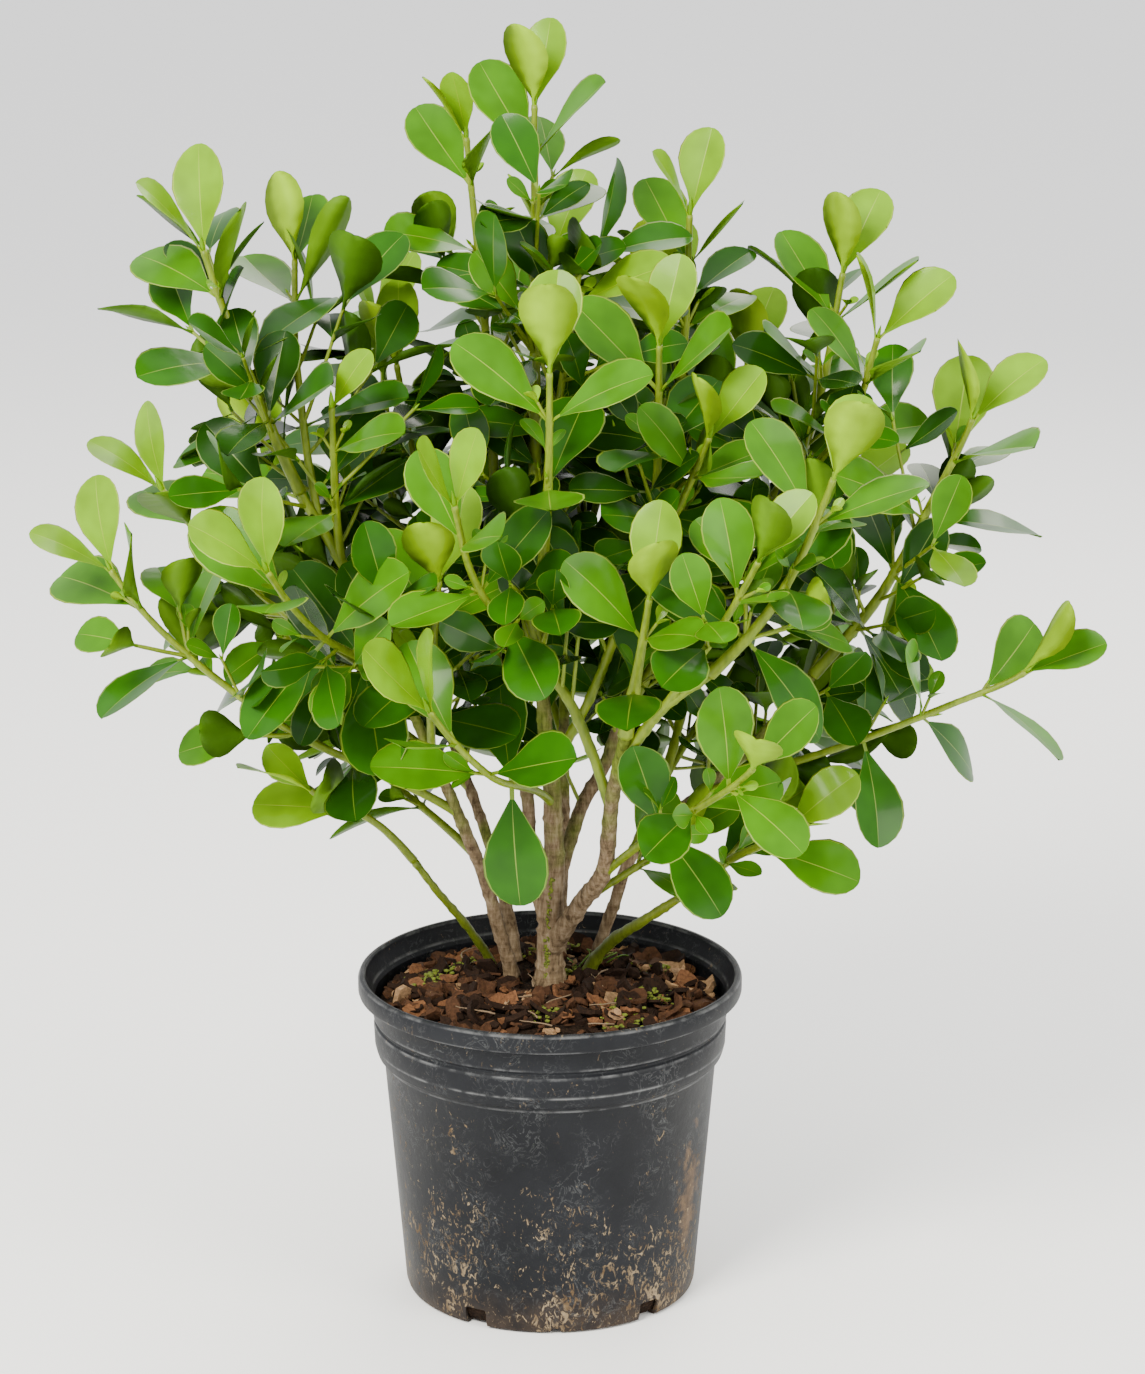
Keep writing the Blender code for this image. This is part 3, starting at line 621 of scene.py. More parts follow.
class Mass(Spray):
    """One mass of foliage: a shoot, its side twigs and its leaves."""

    def __init__(self, row, dice):
        super().__init__(dice)
        carrier, share, between, tip, self.roll, self.leaf, self.pairs = row
        points = [Vector(place) for place in [*between, tip]]
        foot, lead = start_on(limbs[carrier], share, points[0])
        points.insert(0, foot)
        tail = (points[-1] - points[-2]).normalized() + Vector((0.0, 0.0, TIP_LIFT))
        radius = SHOOT_RADIUS if share < 1 else limbs[carrier].tip_radius
        self.stem = Stem(points, lead, tail, radius, SHOOT_TIP_RADIUS)
        self.stem.buried = limbs[carrier].radius(share * limbs[carrier].length) if share < 1 else 0.0
        self.tree = joined([tube_shape(self.stem, skip=self.stem.buried)])

    def shapes(self):
        return [tube_shape(self.stem, skip=self.stem.buried)] + super().shapes()

    def leaf_out(self, taken):
        """Adds pairs of leaves from the tip down, each pair crossing the one above it."""
        place = self.stem.length - 0.003
        step = FIRST_INTERNODE
        index = 0
        while place > BARE_FOOT and index < self.pairs:
            base, along = self.stem.at(place)
            self.stem.joints.append(place)
            opening = PAIR_OPENINGS[index] if index < len(PAIR_OPENINGS) else PAIR_OPENINGS[-1]
            size = self.leaf * (TIP_LEAF_SHARE if index == 0 else 1.0)
            for half_turn in (0, 180):
                azimuth = self.roll + 90 * index + half_turn + self.dice.uniform(-9, 9)
                droop = DROOP * index * self.dice.random()
                self.add_leaf(taken, base, along, azimuth, opening + self.dice.uniform(-7, 7),
                              size * self.dice.uniform(0.92, 1.06), index, droop)
                if index >= 2 and self.dice.random() < SIDE_TWIG_CHANCE:
                    self.add_side_twig(taken, base, along, azimuth, index)
            place -= step
            step = INTERNODE
            index += 1

    def add_side_twig(self, taken, base, along, azimuth, age):
        """A short twig in a leaf's axil, with a pair of small leaves."""
        heading, _ = leaf_frame(along, azimuth, SIDE_TWIG_OPENING)
        length = SIDE_TWIG_LENGTH * self.dice.uniform(0.8, 1.3)
        twig = self.add_twig(taken, base, heading, length, SIDE_TWIG_RADIUS)
        if twig is None:
            return
        end, twig_along = twig.at(twig.length - 0.002)
        spin = self.dice.uniform(0, 180)
        for half_turn in (0, 180):
            self.add_leaf(taken, end, twig_along, spin + half_turn, self.dice.uniform(28, 50),
                          SIDE_LEAF * self.dice.uniform(0.9, 1.1), max(1, age - 2))


def node_tree(name):
    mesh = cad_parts[name].data
    points = [vertex.co.copy() for vertex in mesh.vertices]
    return BVHTree.FromPolygons(points, [tuple(face.vertices) for face in mesh.polygons])


def grow_masses():
    limb_trees = [node_tree(name) for name in ("pot", "root_ball", *LIMBS)]
    made = [Mass(row, random.Random(SEED + index)) for index, row in enumerate(MASSES.values())]
    for mass in made:
        mass.leaf_out(limb_trees + [other.tree for other in made if other is not mass])
        mass.settle()
    return made, limb_trees


masses, limb_trees = grow_masses()
print("large leaves:", sum(len(mass.leaves) for mass in masses))

# %% [markdown]
# ## Finer growth
#
# The solids leave out the small growth. Short side shoots stand in the axils of the older leaves
# and along the boughs, with one to three pairs of smaller leaves, and they fill the inside of
# the crown with dark foliage. They follow the same rule, with random draws of their own, and
# whatever would touch a neighbour is left out.

# %% Side shoots in the axils and along the boughs
FINE_CHANCE = 0.60
FINE_GROWTH = (0.45, 0.65, 1.0)
FINE_LENGTH = 0.022
FINE_LEAF = 0.036
FINE_RADIUS = 0.0013
FILL_SPACING = 0.017
FILL_FROM_HEIGHT = 0.355
OPEN_BELOW = 0.46
OPEN_BEFORE = 0.025
FRONT_LIMIT = -0.10
FILL_LENGTH = 0.045
FILL_LEAF = 0.064
FILL_PAIR_STEP = 0.024
FILL_SHARE_OF_SHOOT = 0.60
FILL_RADIUS = 0.0015
FILL_LIFT = 0.3
FILL_AGE = 3
BOUGH_FILL_SEED = 500
SHOOT_FILL_SEED = 700


def leaf_pairs(spray, taken, twig, spin, size, age, pairs):
    """Pairs of leaves on a side shoot, from its tip down."""
    dice = spray.dice
    for index in range(pairs):
        place = twig.length - 0.001 - FILL_PAIR_STEP * index
        if place < 0.010:
            return
        twig.joints.append(place)
        end, along = twig.at(place)
        for half_turn in (0, 180):
            spray.add_leaf(taken, end, along, spin + 90 * index + half_turn + dice.uniform(-12, 12),
                           dice.uniform(22, 42) + 20 * index, size * dice.uniform(0.75, 1.15), age + index,
                           dice.uniform(0, 10))


def add_fine_growth(mass, taken):
    """Side shoots in the axils of a mass's own leaves."""
    dice = mass.dice
    for index, place in enumerate(list(mass.stem.joints)):
        if index == 0:
            continue
        base, along = mass.stem.at(place)
        for half_turn in (0, 180):
            if dice.random() > FINE_CHANCE:
                continue
            azimuth = mass.roll + 90 * index + half_turn + dice.uniform(-20, 20)
            heading, _ = leaf_frame(along, azimuth, dice.uniform(24, 50))
            growth = FINE_GROWTH[min(index, len(FINE_GROWTH)) - 1]
            length = FINE_LENGTH * growth * dice.uniform(0.6, 1.6)
            twig = mass.add_twig(taken, base, heading, length, FINE_RADIUS)
            if twig is not None:
                size = FINE_LEAF * growth * dice.uniform(0.7, 1.25)
                leaf_pairs(mass, taken, twig, azimuth + 90, size, max(0, index - 1), 2)


def add_fill(spray, stem, taken, reach):
    """Leafy twigs along a bough, above the bare foot of the shrub."""
    dice = spray.dice
    place = dice.uniform(0.0, FILL_SPACING)
    while place < stem.length * reach:
        base, along = stem.at(place)
        if base.z > FILL_FROM_HEIGHT and base.y > (OPEN_BEFORE if base.z < OPEN_BELOW else FRONT_LIMIT):
            heading, _ = leaf_frame(along, dice.uniform(0, 360), dice.uniform(35, 75))
            length = FILL_LENGTH * dice.uniform(0.5, 1.6)
            twig = spray.add_twig(taken, base, heading, length, FILL_RADIUS, FILL_LIFT)
            if twig is not None:
                size = FILL_LEAF * dice.uniform(0.75, 1.15)
                leaf_pairs(spray, taken, twig, dice.uniform(0, 180), size, FILL_AGE, 2)
        place += FILL_SPACING * dice.uniform(0.7, 1.3)


def grow_fine():
    """All the small growth, one mass and one bough after the other."""
    for mass in masses:
        add_fine_growth(mass, limb_trees + [other.tree for other in masses if other is not mass])
        mass.settle()
    made = []
    for index, (name, stem) in enumerate(limbs.items()):
        others = [tree for other, tree in zip(("pot", "root_ball", *LIMBS), limb_trees) if other != name]
        spray = Spray(random.Random(BOUGH_FILL_SEED + index))
        others += [mass.tree for mass in masses] + [other.tree for other in made]
        add_fill(spray, stem, others, 1.0)
        spray.settle()
        made.append(spray)
    for index, mass in enumerate(masses):
        spray = Spray(random.Random(SHOOT_FILL_SEED + index))
        others = [other.tree for other in masses if other is not mass] + [other.tree for other in made]
        add_fill(spray, mass.stem, limb_trees + others, FILL_SHARE_OF_SHOOT)
        spray.settle()
        made.append(spray)
    return made


fill = grow_fine()
sprays = masses + fill
print("leaves in all:", sum(len(spray.leaves) for spray in sprays))

# %% [markdown]
# A leaf turns its upper face to the light as it grows. Each one is rolled about its own length,
# by a limited angle, towards a place high in front of the shrub.

# %% Turn the leaves to the light
LIGHT_WAY = Vector((-0.15, -0.62, 0.77))
MOST_ROLL = 30.0
TURNED_AWAY = 120.0
ROLL_SHARE = 0.7


class Neighbours:
    """All the leaves in one tree, which knows whose each face is."""

    def __init__(self, leaves):
        points, faces, self.owners = [], [], []
        for index, leaf in enumerate(leaves):
            shape_points, shape_faces = leaf_shape(leaf.root, leaf.along, leaf.upper, leaf.length)
            faces += [tuple(i + len(points) for i in face) for face in shape_faces]
            points += shape_points
            self.owners += [index] * len(shape_faces)
        self.tree = BVHTree.FromPolygons(points, faces)

    def touched(self, index, leaf, upper):
        """How many other leaves this leaf would meet, turned so."""
        base = leaf.root + leaf.along * STALK
        shape = leaf_shape(base, leaf.along, upper, leaf.length - STALK, LEAF_CLEARANCE)
        pairs = BVHTree.FromPolygons(*shape).overlap(self.tree)
        return len({self.owners[face] for _, face in pairs} - {index})


def turn_to_light(leaves):
    """Rolls each leaf to the light, less where it would meet another leaf."""
    turned = 0
    neighbours = Neighbours(leaves)
    for index, leaf in enumerate(leaves):
        wanted = (LIGHT_WAY - leaf.along * LIGHT_WAY.dot(leaf.along)).normalized()
        angle = leaf.upper.angle(wanted, 0.0)
        if angle > math.radians(TURNED_AWAY):
            continue
        if leaf.upper.cross(wanted).dot(leaf.along) < 0.0:
            angle = -angle
        roll = max(-math.radians(MOST_ROLL), min(math.radians(MOST_ROLL), angle * ROLL_SHARE))
        before = neighbours.touched(index, leaf, leaf.upper)
        for share in (1.0, 0.6, 0.3):
            upper = Matrix.Rotation(roll * share, 3, leaf.along) @ leaf.upper
            if neighbours.touched(index, leaf, upper) <= before:
                leaf.upper = upper
                turned += 1
                break
    return turned


all_leaves = [leaf for spray in sprays for leaf in spray.leaves]
print("leaves turned:", turn_to_light(all_leaves))

# %% [markdown]
# ## One leaf, modelled once
#
# A clusia leaf is thick and waxy, widest two thirds of the way up, with a blunt tip, a short
# stalk, a pale midrib and a thin pale margin. The blade starts as a flat grid, whose columns
# are the margin, the two halves and the rib. Moving its points gives the outline, the shallow
# cup and the curl. A second grid closes it below, and the colours go by column.

# %% Leaf templates
ROWS = (0.0, 0.12, 0.29, 0.46, 0.61, 0.74, 0.85, 0.93, 0.98, 1.0)
WIDEST = 0.665
COLUMNS = (-1.0, -0.935, -0.036, 0.036, 0.935, 1.0)
UNDER_COLUMNS = (-1.0, 0.0, 1.0)
BLADE_THICKNESS = 0.0009
STALK_HALF = 0.020
BLADE_HALF = 0.268
TIP_HALF = 0.035
RIB_FADE = 0.75


def half_width(share, belly):
    """Half of the leaf's width, as a share of its length, at a share of the way to its tip."""
    if share >= WIDEST:
        fall = 1.0 - ((share - WIDEST) / (1.0 - WIDEST)) ** 2.15
        return max(BLADE_HALF * math.sqrt(max(fall, 0.0)), TIP_HALF)
    rise = math.sin(0.5 * math.pi * max(share - 0.08, 0.0) / (WIDEST - 0.08))
    return max(BLADE_HALF * rise ** belly, STALK_HALF)


def bent(share, side, cup, curl, twist, belly):
    """Where a point of the flat leaf goes: along, across and up, for a leaf 1 long."""
    half = half_width(share, belly)
    across = side * half
    lift = cup * abs(side) * half - curl * share ** 2.2
    turn = twist * share * share
    along = share * (1.0 - 0.25 * curl * share)
    return Vector((along, across * math.cos(turn), lift + across * math.sin(turn)))


def leaf_grid(columns, rows, shape, drop):
    """One face of the leaf: a grid whose points are moved to their bent places."""
    bm = bmesh.new()
    bmesh.ops.create_grid(bm, x_segments=len(rows) - 1, y_segments=len(columns) - 1, size=0.5)
    for vertex in bm.verts:
        row = round((vertex.co.x + 0.5) * (len(rows) - 1))
        column = round((vertex.co.y + 0.5) * (len(columns) - 1))
        share, side = rows[row], columns[column]
        if abs(side) < 0.1:
            side *= 1.0 - RIB_FADE * share
        vertex.co = bent(share, side, *shape)
        vertex.co.z -= drop * (1.0 - abs(side)) * (2.2 if share < 0.1 else 1.0)
    return bm


def leaf_template(name, shape):
    """A closed leaf 1 long: slot 0 above, 1 below, 2 the margin, rib and stalk."""
    top = leaf_grid(COLUMNS, ROWS, shape, 0.0)
    count_rows, count_columns = len(ROWS) - 1, len(COLUMNS) - 1
    for index, face in enumerate(top.faces):
        row, column = index % count_rows, index // count_rows
        pale = column in (0, 2, count_columns - 1) or ROWS[row] < 0.10
        face.material_index = 2 if pale else 0
    leaf = mesh_of(name, top)
    under = leaf_grid(UNDER_COLUMNS, ROWS, shape, BLADE_THICKNESS / 0.08)
    for face in under.faces:
        face.material_index = 1
    bmesh.ops.reverse_faces(under, faces=under.faces)
    under.from_mesh(leaf)
    bmesh.ops.remove_doubles(under, verts=under.verts, dist=1e-5)
    for face in under.faces:
        face.smooth = True
    under.to_mesh(leaf)
    under.free()
    return leaf


# Cup, curl, twist and belly of each template
LEAF_SHAPES = (
    (0.12, 0.06, 0.00, 1.35), (0.22, 0.09, 0.30, 1.55), (0.08, 0.15, -0.26, 1.30),
    (0.16, 0.12, -0.35, 1.45), (0.28, 0.03, 0.16, 1.65), (0.06, 0.20, 0.12, 1.30),
    (0.16, -0.06, -0.16, 1.50), (0.20, 0.17, 0.05, 1.40),
)
leaf_templates = [leaf_template(f"leaf_{index}", shape) for index, shape in enumerate(LEAF_SHAPES)]
print("faces in one leaf:", len(leaf_templates[0].polygons))

# %% Joined copies


def joined_copies(name, rows, finishes):
    """One mesh of many copies: rows of (template mesh, 4x4 matrix)."""
    points, loops, totals, slots = [], [], [], []
    offset = 0
    for template, matrix in rows:
        count = len(template.vertices)
        flat = np.empty(count * 3, np.float32)
        template.vertices.foreach_get("co", flat)
        turn = np.array(matrix)
        points.append(flat.reshape(-1, 3) @ turn[:3, :3].T + turn[:3, 3])
        corners = np.empty(len(template.loops), np.int32)
        template.loops.foreach_get("vertex_index", corners)
        loops.append(corners + offset)
        sizes = np.empty(len(template.polygons), np.int32)
        template.polygons.foreach_get("loop_total", sizes)
        totals.append(sizes)
        indices = np.empty(len(template.polygons), np.int32)
        template.polygons.foreach_get("material_index", indices)
        slots.append(indices)
        offset += count
    points, loops = np.concatenate(points), np.concatenate(loops)
    totals, slots = np.concatenate(totals), np.concatenate(slots)
    starts = np.concatenate([[0], np.cumsum(totals)[:-1]]).astype(np.int32)
    mesh = bpy.data.meshes.new(name)
    mesh.vertices.add(len(points))
    mesh.vertices.foreach_set("co", points.astype(np.float32).ravel())
    mesh.loops.add(len(loops))
    mesh.loops.foreach_set("vertex_index", loops)
    mesh.polygons.add(len(totals))
    mesh.polygons.foreach_set("loop_start", starts)
    mesh.polygons.foreach_set("loop_total", totals)
    mesh.polygons.foreach_set("material_index", slots)
    mesh.update(calc_edges=True)
    mesh.validate()
    mesh.shade_smooth()
    for finish in finishes:
        mesh.materials.append(finish.material)
    return shown(name, mesh)


def placed(origin, x_axis, z_axis, size):
    """The matrix that puts a shape at a place, turned so and this large."""
    x_axis = x_axis.normalized()
    y_axis = z_axis.cross(x_axis).normalized()
    z_axis = x_axis.cross(y_axis)
    turn = Matrix((x_axis, y_axis, z_axis)).transposed().to_4x4()
    return Matrix.Translation(origin) @ turn @ Matrix.Diagonal((size, size, size, 1.0))


print("copying helper ready")

# %% [markdown]
# ## The colours of the leaves
#
# The newest pairs are a bright yellow-green, the next are fresh green, and the old leaves inside
# are deep green and glossier. Each leaf takes one of four tones by its age, one step deeper in the
# middle of the crown as painted shade, and each tone has its own colour above and below; the paler
# colours below are partly the underside's own and partly a painted glow of light through the leaf.
# Margin, rib and stalk share one pale finish.

# %% Leaf finishes
# The second colour of each tone, below, is paler partly as the underside's own colour and partly as a
# painted glow of light shining through the leaf.
LEAF_TONES = {
    "young": ((0.134, 0.282, 0.0002), (0.205, 0.355, 0.001), (0.220, 0.330, 0.004), 0.40),
    "fresh": ((0.043, 0.154, 0.0002), (0.084, 0.188, 0.001), (0.160, 0.250, 0.004), 0.34),
    "mature": ((0.0158, 0.086, 0.0002), (0.040, 0.108, 0.001), (0.120, 0.200, 0.004), 0.29),
    "deep": ((0.0078, 0.044, 0.0003), (0.021, 0.064, 0.001), (0.088, 0.150, 0.004), 0.27),
}


def leaf_finish(name, colour, roughness, gloss):
    finish = Finish(name, colour, roughness, Coat_Weight=gloss, Coat_Roughness=0.10,
                    Specular_IOR_Level=0.11)
    tint = finish.noise(34.0, 2.0)
    darker = tuple(c * 0.80 for c in colour)
    lighter = tuple(min(c * 1.22, 1.0) for c in colour)
    finish.colour(finish.ramp(tint, [(0.30, darker), (0.70, lighter)]))
    return finish


tone_finishes = {}
for tone, (above, below, edge, roughness) in LEAF_TONES.items():
    tone_finishes[tone] = (leaf_finish(f"leaf_{tone}_upper", above, roughness, 0.10),
                           leaf_finish(f"leaf_{tone}_under", below, roughness + 0.22, 0.0),
                           Finish(f"leaf_{tone}_edge", edge, 0.45))
print("tones:", ", ".join(LEAF_TONES))

# %% Lay the leaves in their tones
PIECE_BODY = "root"
TONE_SEED = 41


def tone_of(leaf, dice):
    """The tone of a leaf by its age, with some chance, and a step deeper in the middle of the crown as
    painted shade.
    """
    # Painted shade: a leaf in the middle of the crown, where shade falls, takes a deeper tone.
    inside = math.hypot(leaf.root.x, leaf.root.y * 1.2) < 0.13 and leaf.root.z < 0.66
    score = leaf.age + dice.uniform(-0.6, 0.6) + (0.6 if inside else 0.0)
    if score < 0.5:
        return "young"
    if score < 2.0:
        return "fresh"
    return "mature" if score < 3.7 else "deep"


def make_leaves():
    dice = random.Random(TONE_SEED)
    rows = {tone: [] for tone in LEAF_TONES}
    for spray in sprays:
        for leaf in spray.leaves:
            template = leaf_templates[dice.randrange(len(leaf_templates))]
            matrix = placed(leaf.root, leaf.along, leaf.upper, leaf.length)
            rows[tone_of(leaf, dice)].append((template, matrix))
    for tone, copies in rows.items():
        piece = joined_copies(f"leaves_{tone}", copies, tone_finishes[tone])
        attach(piece, PIECE_BODY)
        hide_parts(*MASSES)
        print(tone, "leaves:", len(copies))


make_leaves()

# %% [markdown]
# ## Stems with bark and joints
#
# A curve with a bevel makes a round stem whose radius changes from point to point. Each pair of
# leaves leaves a swollen ring on the stem, so the radius rises at those places. After the curve
# has become a mesh, noise pushes its points in and out: long ridges on the old bark, and less
# on the green shoots.

# %% Stem curves
STEM_STEP = 0.003
RING_WIDTH = 0.0016
RING_SWELL = 0.16
BARK_RING_SPACING = 0.024
FLARE_HEIGHT = 0.016
FLARE_GROWTH = 0.30
LIMB_SLENDER = 0.90


def stem_profile(stem, rings, flare=False, slender=1.0):
    """Points and radii along a stem, with a swelling at each ring."""
    count = max(3, round(stem.length / STEM_STEP))
    rows = []
    for step in range(count + 1):
        distance = stem.length * step / count
        point, _ = stem.at(distance)
        radius = stem.radius(distance) * slender
        swell = sum(math.exp(-((distance - ring) / RING_WIDTH) ** 2) for ring in rings
                    if abs(distance - ring) < 3 * RING_WIDTH)
        radius *= 1.0 + RING_SWELL * min(swell, 1.2)
        if flare and distance < FLARE_HEIGHT:
            radius *= 1.0 + FLARE_GROWTH * (1.0 - distance / FLARE_HEIGHT) ** 2
        rows.append((point, radius))
    return rows


def curve_of(name, profiles, sides_level, finishes, slots=None):
    """A curve object with one bevelled spline for each profile, turned into a mesh."""
    curve = bpy.data.curves.new(name, "CURVE")
    curve.dimensions = "3D"
    curve.bevel_depth = 1.0
    curve.bevel_resolution = sides_level
    curve.use_fill_caps = True
    for finish in finishes:
        curve.materials.append(finish.material)
    for index, rows in enumerate(profiles):
        spline = curve.splines.new("POLY")
        spline.points.add(len(rows) - 1)
        for point, (place, radius) in zip(spline.points, rows):
            point.co = (*place, 1.0)
            point.radius = radius
        spline.use_smooth = True
        spline.material_index = slots[index] if slots else 0
    source = shown(name, curve)
    graph = bpy.context.evaluated_depsgraph_get()
    mesh = bpy.data.meshes.new_from_object(source.evaluated_get(graph))
    bpy.data.objects.remove(source)
    bm = bmesh.new()
    bm.from_mesh(mesh)
    bmesh.ops.remove_doubles(bm, verts=bm.verts, dist=1e-6)
    bmesh.ops.recalc_face_normals(bm, faces=bm.faces)
    bm.to_mesh(mesh)
    bm.free()
    mesh.shade_smooth()
    return shown(name, mesh)


def roughen(thing, depth, scale, stretch):
    """Pushes the surface in and out by noise that is drawn out along Z."""
    mesh = thing.data
    normals = [vertex.normal.copy() for vertex in mesh.vertices]
    for vertex, normal in zip(mesh.vertices, normals):
        place = Vector((vertex.co.x * scale, vertex.co.y * scale, vertex.co.z * scale / stretch))
        push = noise.noise(place) + 0.5 * noise.noise(place * 2.3)
        vertex.co += normal * depth * push
    mesh.update()


print("stem helpers ready")

# %% [markdown]
# Old bark is grey-brown and cracked, with faint rings, and turns green towards the young wood.
# One noise drawn out along the stem gives the cracks and one drawn out across it the rings.
# The height and a coarser noise decide how green each place is. The shoots have a smoother,
# yellow-green finish of the same kind.

# %% Bark finish


def bark_finish():
    """Grey-brown bark with cracks and rings, which turns green towards the young wood."""
    finish = Finish("stem_bark", (0.12, 0.08, 0.045), 0.8, Specular_IOR_Level=0.2)
    fibre = finish.noise(300.0, 6.0, 0.68, finish.stretched((1.0, 1.0, 0.20)))
    rings = finish.noise(60.0, 4.0, 0.6, finish.stretched((0.5, 0.5, 5.0)))
    grain = finish.math("ADD", finish.math("MULTIPLY", fibre, 0.72), finish.math("MULTIPLY", rings, 0.28))
    brown = finish.ramp(grain, [(0.36, (0.050, 0.030, 0.014)), (0.50, (0.165, 0.112, 0.062)),
                                (0.64, (0.300, 0.222, 0.140))])
    green = finish.ramp(grain, [(0.36, (0.048, 0.062, 0.005)), (0.50, (0.105, 0.140, 0.010)),
                                (0.64, (0.175, 0.205, 0.028))])
    patch = finish.noise(26.0, 3.0)
    rise = finish.level(finish.height(), 0.27, 0.52)
    uneven = finish.math("ADD", rise, finish.level(patch, 0.35, 0.75, -0.25, 0.45))
    share = finish.level(uneven, 0.30, 0.75)
    finish.colour(finish.mix(share, brown, green))
    finish.bump(grain, 0.0012, 0.9)
    return finish


def green_finish():
    """Smooth yellow-green bark of the young shoots, browner low down."""
    finish = Finish("green_stem", (0.14, 0.21, 0.02), 0.46, Specular_IOR_Level=0.35)
    fibre = finish.noise(300.0, 4.0, 0.6, finish.stretched((1.0, 1.0, 0.25)))
    young = finish.ramp(fibre, [(0.28, (0.095, 0.150, 0.002)), (0.72, (0.195, 0.262, 0.006))])
    old = finish.ramp(fibre, [(0.30, (0.062, 0.078, 0.006)), (0.70, (0.135, 0.165, 0.014))])
    finish.colour(finish.mix(finish.level(finish.height(), 0.22, 0.42), old, young))
    finish.bump(fibre, 0.0005, 0.5)
    return finish


bark = bark_finish()
green_bark = green_finish()
print("bark finishes ready")

# %% Trunk and boughs
GREEN_LIMBS = ("right_front_bough", "left_high_bough", "leader_bough", "far_left_bough", "low_right_bough",
               "inner_right_bough", "inner_front_bough", "right_high_bough", "back_far_bough")
SLENDER_LIMBS = {"left_bough": 0.68, "back_right_bough": 0.78, "back_left_bough": 0.80,
                 "back_middle_bough": 0.80}
RING_SEED = 11
LIMB_SIDES = 4
BARK_DEPTH = 0.0007


def make_limbs():
    dice = random.Random(RING_SEED)
    profiles, slots = [], []
    for name, stem in limbs.items():
        carrier = LIMBS[name][0]
        rings = []
        place = dice.uniform(0.01, 0.02)
        while place < stem.length:
            rings.append(place)
            place += BARK_RING_SPACING * dice.uniform(0.7, 1.5)
        slender = SLENDER_LIMBS.get(name, LIMB_SLENDER)
        profiles.append(stem_profile(stem, rings, carrier is None, slender))
        slots.append(1 if name in GREEN_LIMBS else 0)
    piece = curve_of("trunk_and_boughs", profiles, LIMB_SIDES, (bark, green_bark), slots)
    roughen(piece, BARK_DEPTH, 210.0, 5.0)
    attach(piece, PIECE_BODY)
    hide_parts(*LIMBS)
    return piece


limb_piece = make_limbs()
print("faces of the trunk and boughs:", len(limb_piece.data.polygons))

# %% Shoots and twigs
SHOOT_SIDES = 2
SHOOT_STOUT = 1.22
SHOOT_DEPTH = 0.0002


def make_shoots():
    profiles = []
    for mass in masses:
        profiles.append(stem_profile(mass.stem, mass.stem.joints, False, SHOOT_STOUT))
    for spray in sprays:
        profiles += [stem_profile(twig, twig.joints) for twig in spray.twigs]
    piece = curve_of("green_shoots", profiles, SHOOT_SIDES, (green_bark,))
    roughen(piece, SHOOT_DEPTH, 300.0, 4.0)
    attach(piece, PIECE_BODY)
    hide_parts(*MASSES)
    return piece


shoot_piece = make_shoots()
print("faces of the shoots:", len(shoot_piece.data.polygons))

# %% [markdown]
# ## Buds
#
# Between the two youngest leaves of every shoot sits a pointed green bud, flattened by the
# leaves that enclose it. It is a small cone of a few faces, squeezed and rounded.

# %% Buds at the tips
BUD_SEED = 23
SHOOT_BUD = 0.013
TWIG_BUD = 0.007
BUD_SINK = 0.0015


def bud_template():
    bm = bmesh.new()
    bmesh.ops.create_uvsphere(bm, u_segments=6, v_segments=5, radius=0.5)
    for vertex in bm.verts:
        height = vertex.co.z + 0.5
        vertex.co.x *= 0.42 * (1.15 - 0.9 * height)
        vertex.co.y *= 0.26 * (1.15 - 0.9 * height)
        vertex.co.z = height
    bmesh.ops.rotate(bm, cent=(0, 0, 0), matrix=Matrix.Rotation(math.pi / 2, 3, "Y"), verts=bm.verts)
    return mesh_of("bud", bm)


def make_buds():
    dice = random.Random(BUD_SEED)
    template = bud_template()
    rows = []
    stems = [(mass.stem, SHOOT_BUD) for mass in masses]
    stems += [(twig, TWIG_BUD) for spray in sprays for twig in spray.twigs]
    for stem, full in stems:
        tip, along = stem.at(stem.length)
        size = full * dice.uniform(0.8, 1.2)
        rows.append((template, placed(tip - along * BUD_SINK, along, along.orthogonal(), size)))
    piece = joined_copies("buds", rows, [tone_finishes["young"][0]])
    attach(piece, PIECE_BODY)
    print("buds:", len(rows))


make_buds()

# %% [markdown]
# ## The pot
#
# A nursery pot is blown from thin black plastic. Its profile is drawn once and spun round the
# axis: a flat foot, a tapering wall, a step out to two raised bands and a lip. The drainage
# notches are cut from the foot of the wall with a Boolean.

# %% Spin the pot
POT_SEGMENTS = 160
POT_WALL = 0.002
POT_FLOOR = 0.0025
NOTCH_COUNT = 5
NOTCH_FIRST_DEG = -30.0
NOTCH_SIZE = (0.017, 0.026, 0.014)
RIM_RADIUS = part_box("pot")[1].x
POT_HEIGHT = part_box("pot")[1].z
BASE_RADIUS = 0.1075
WALL_TOP = 0.176


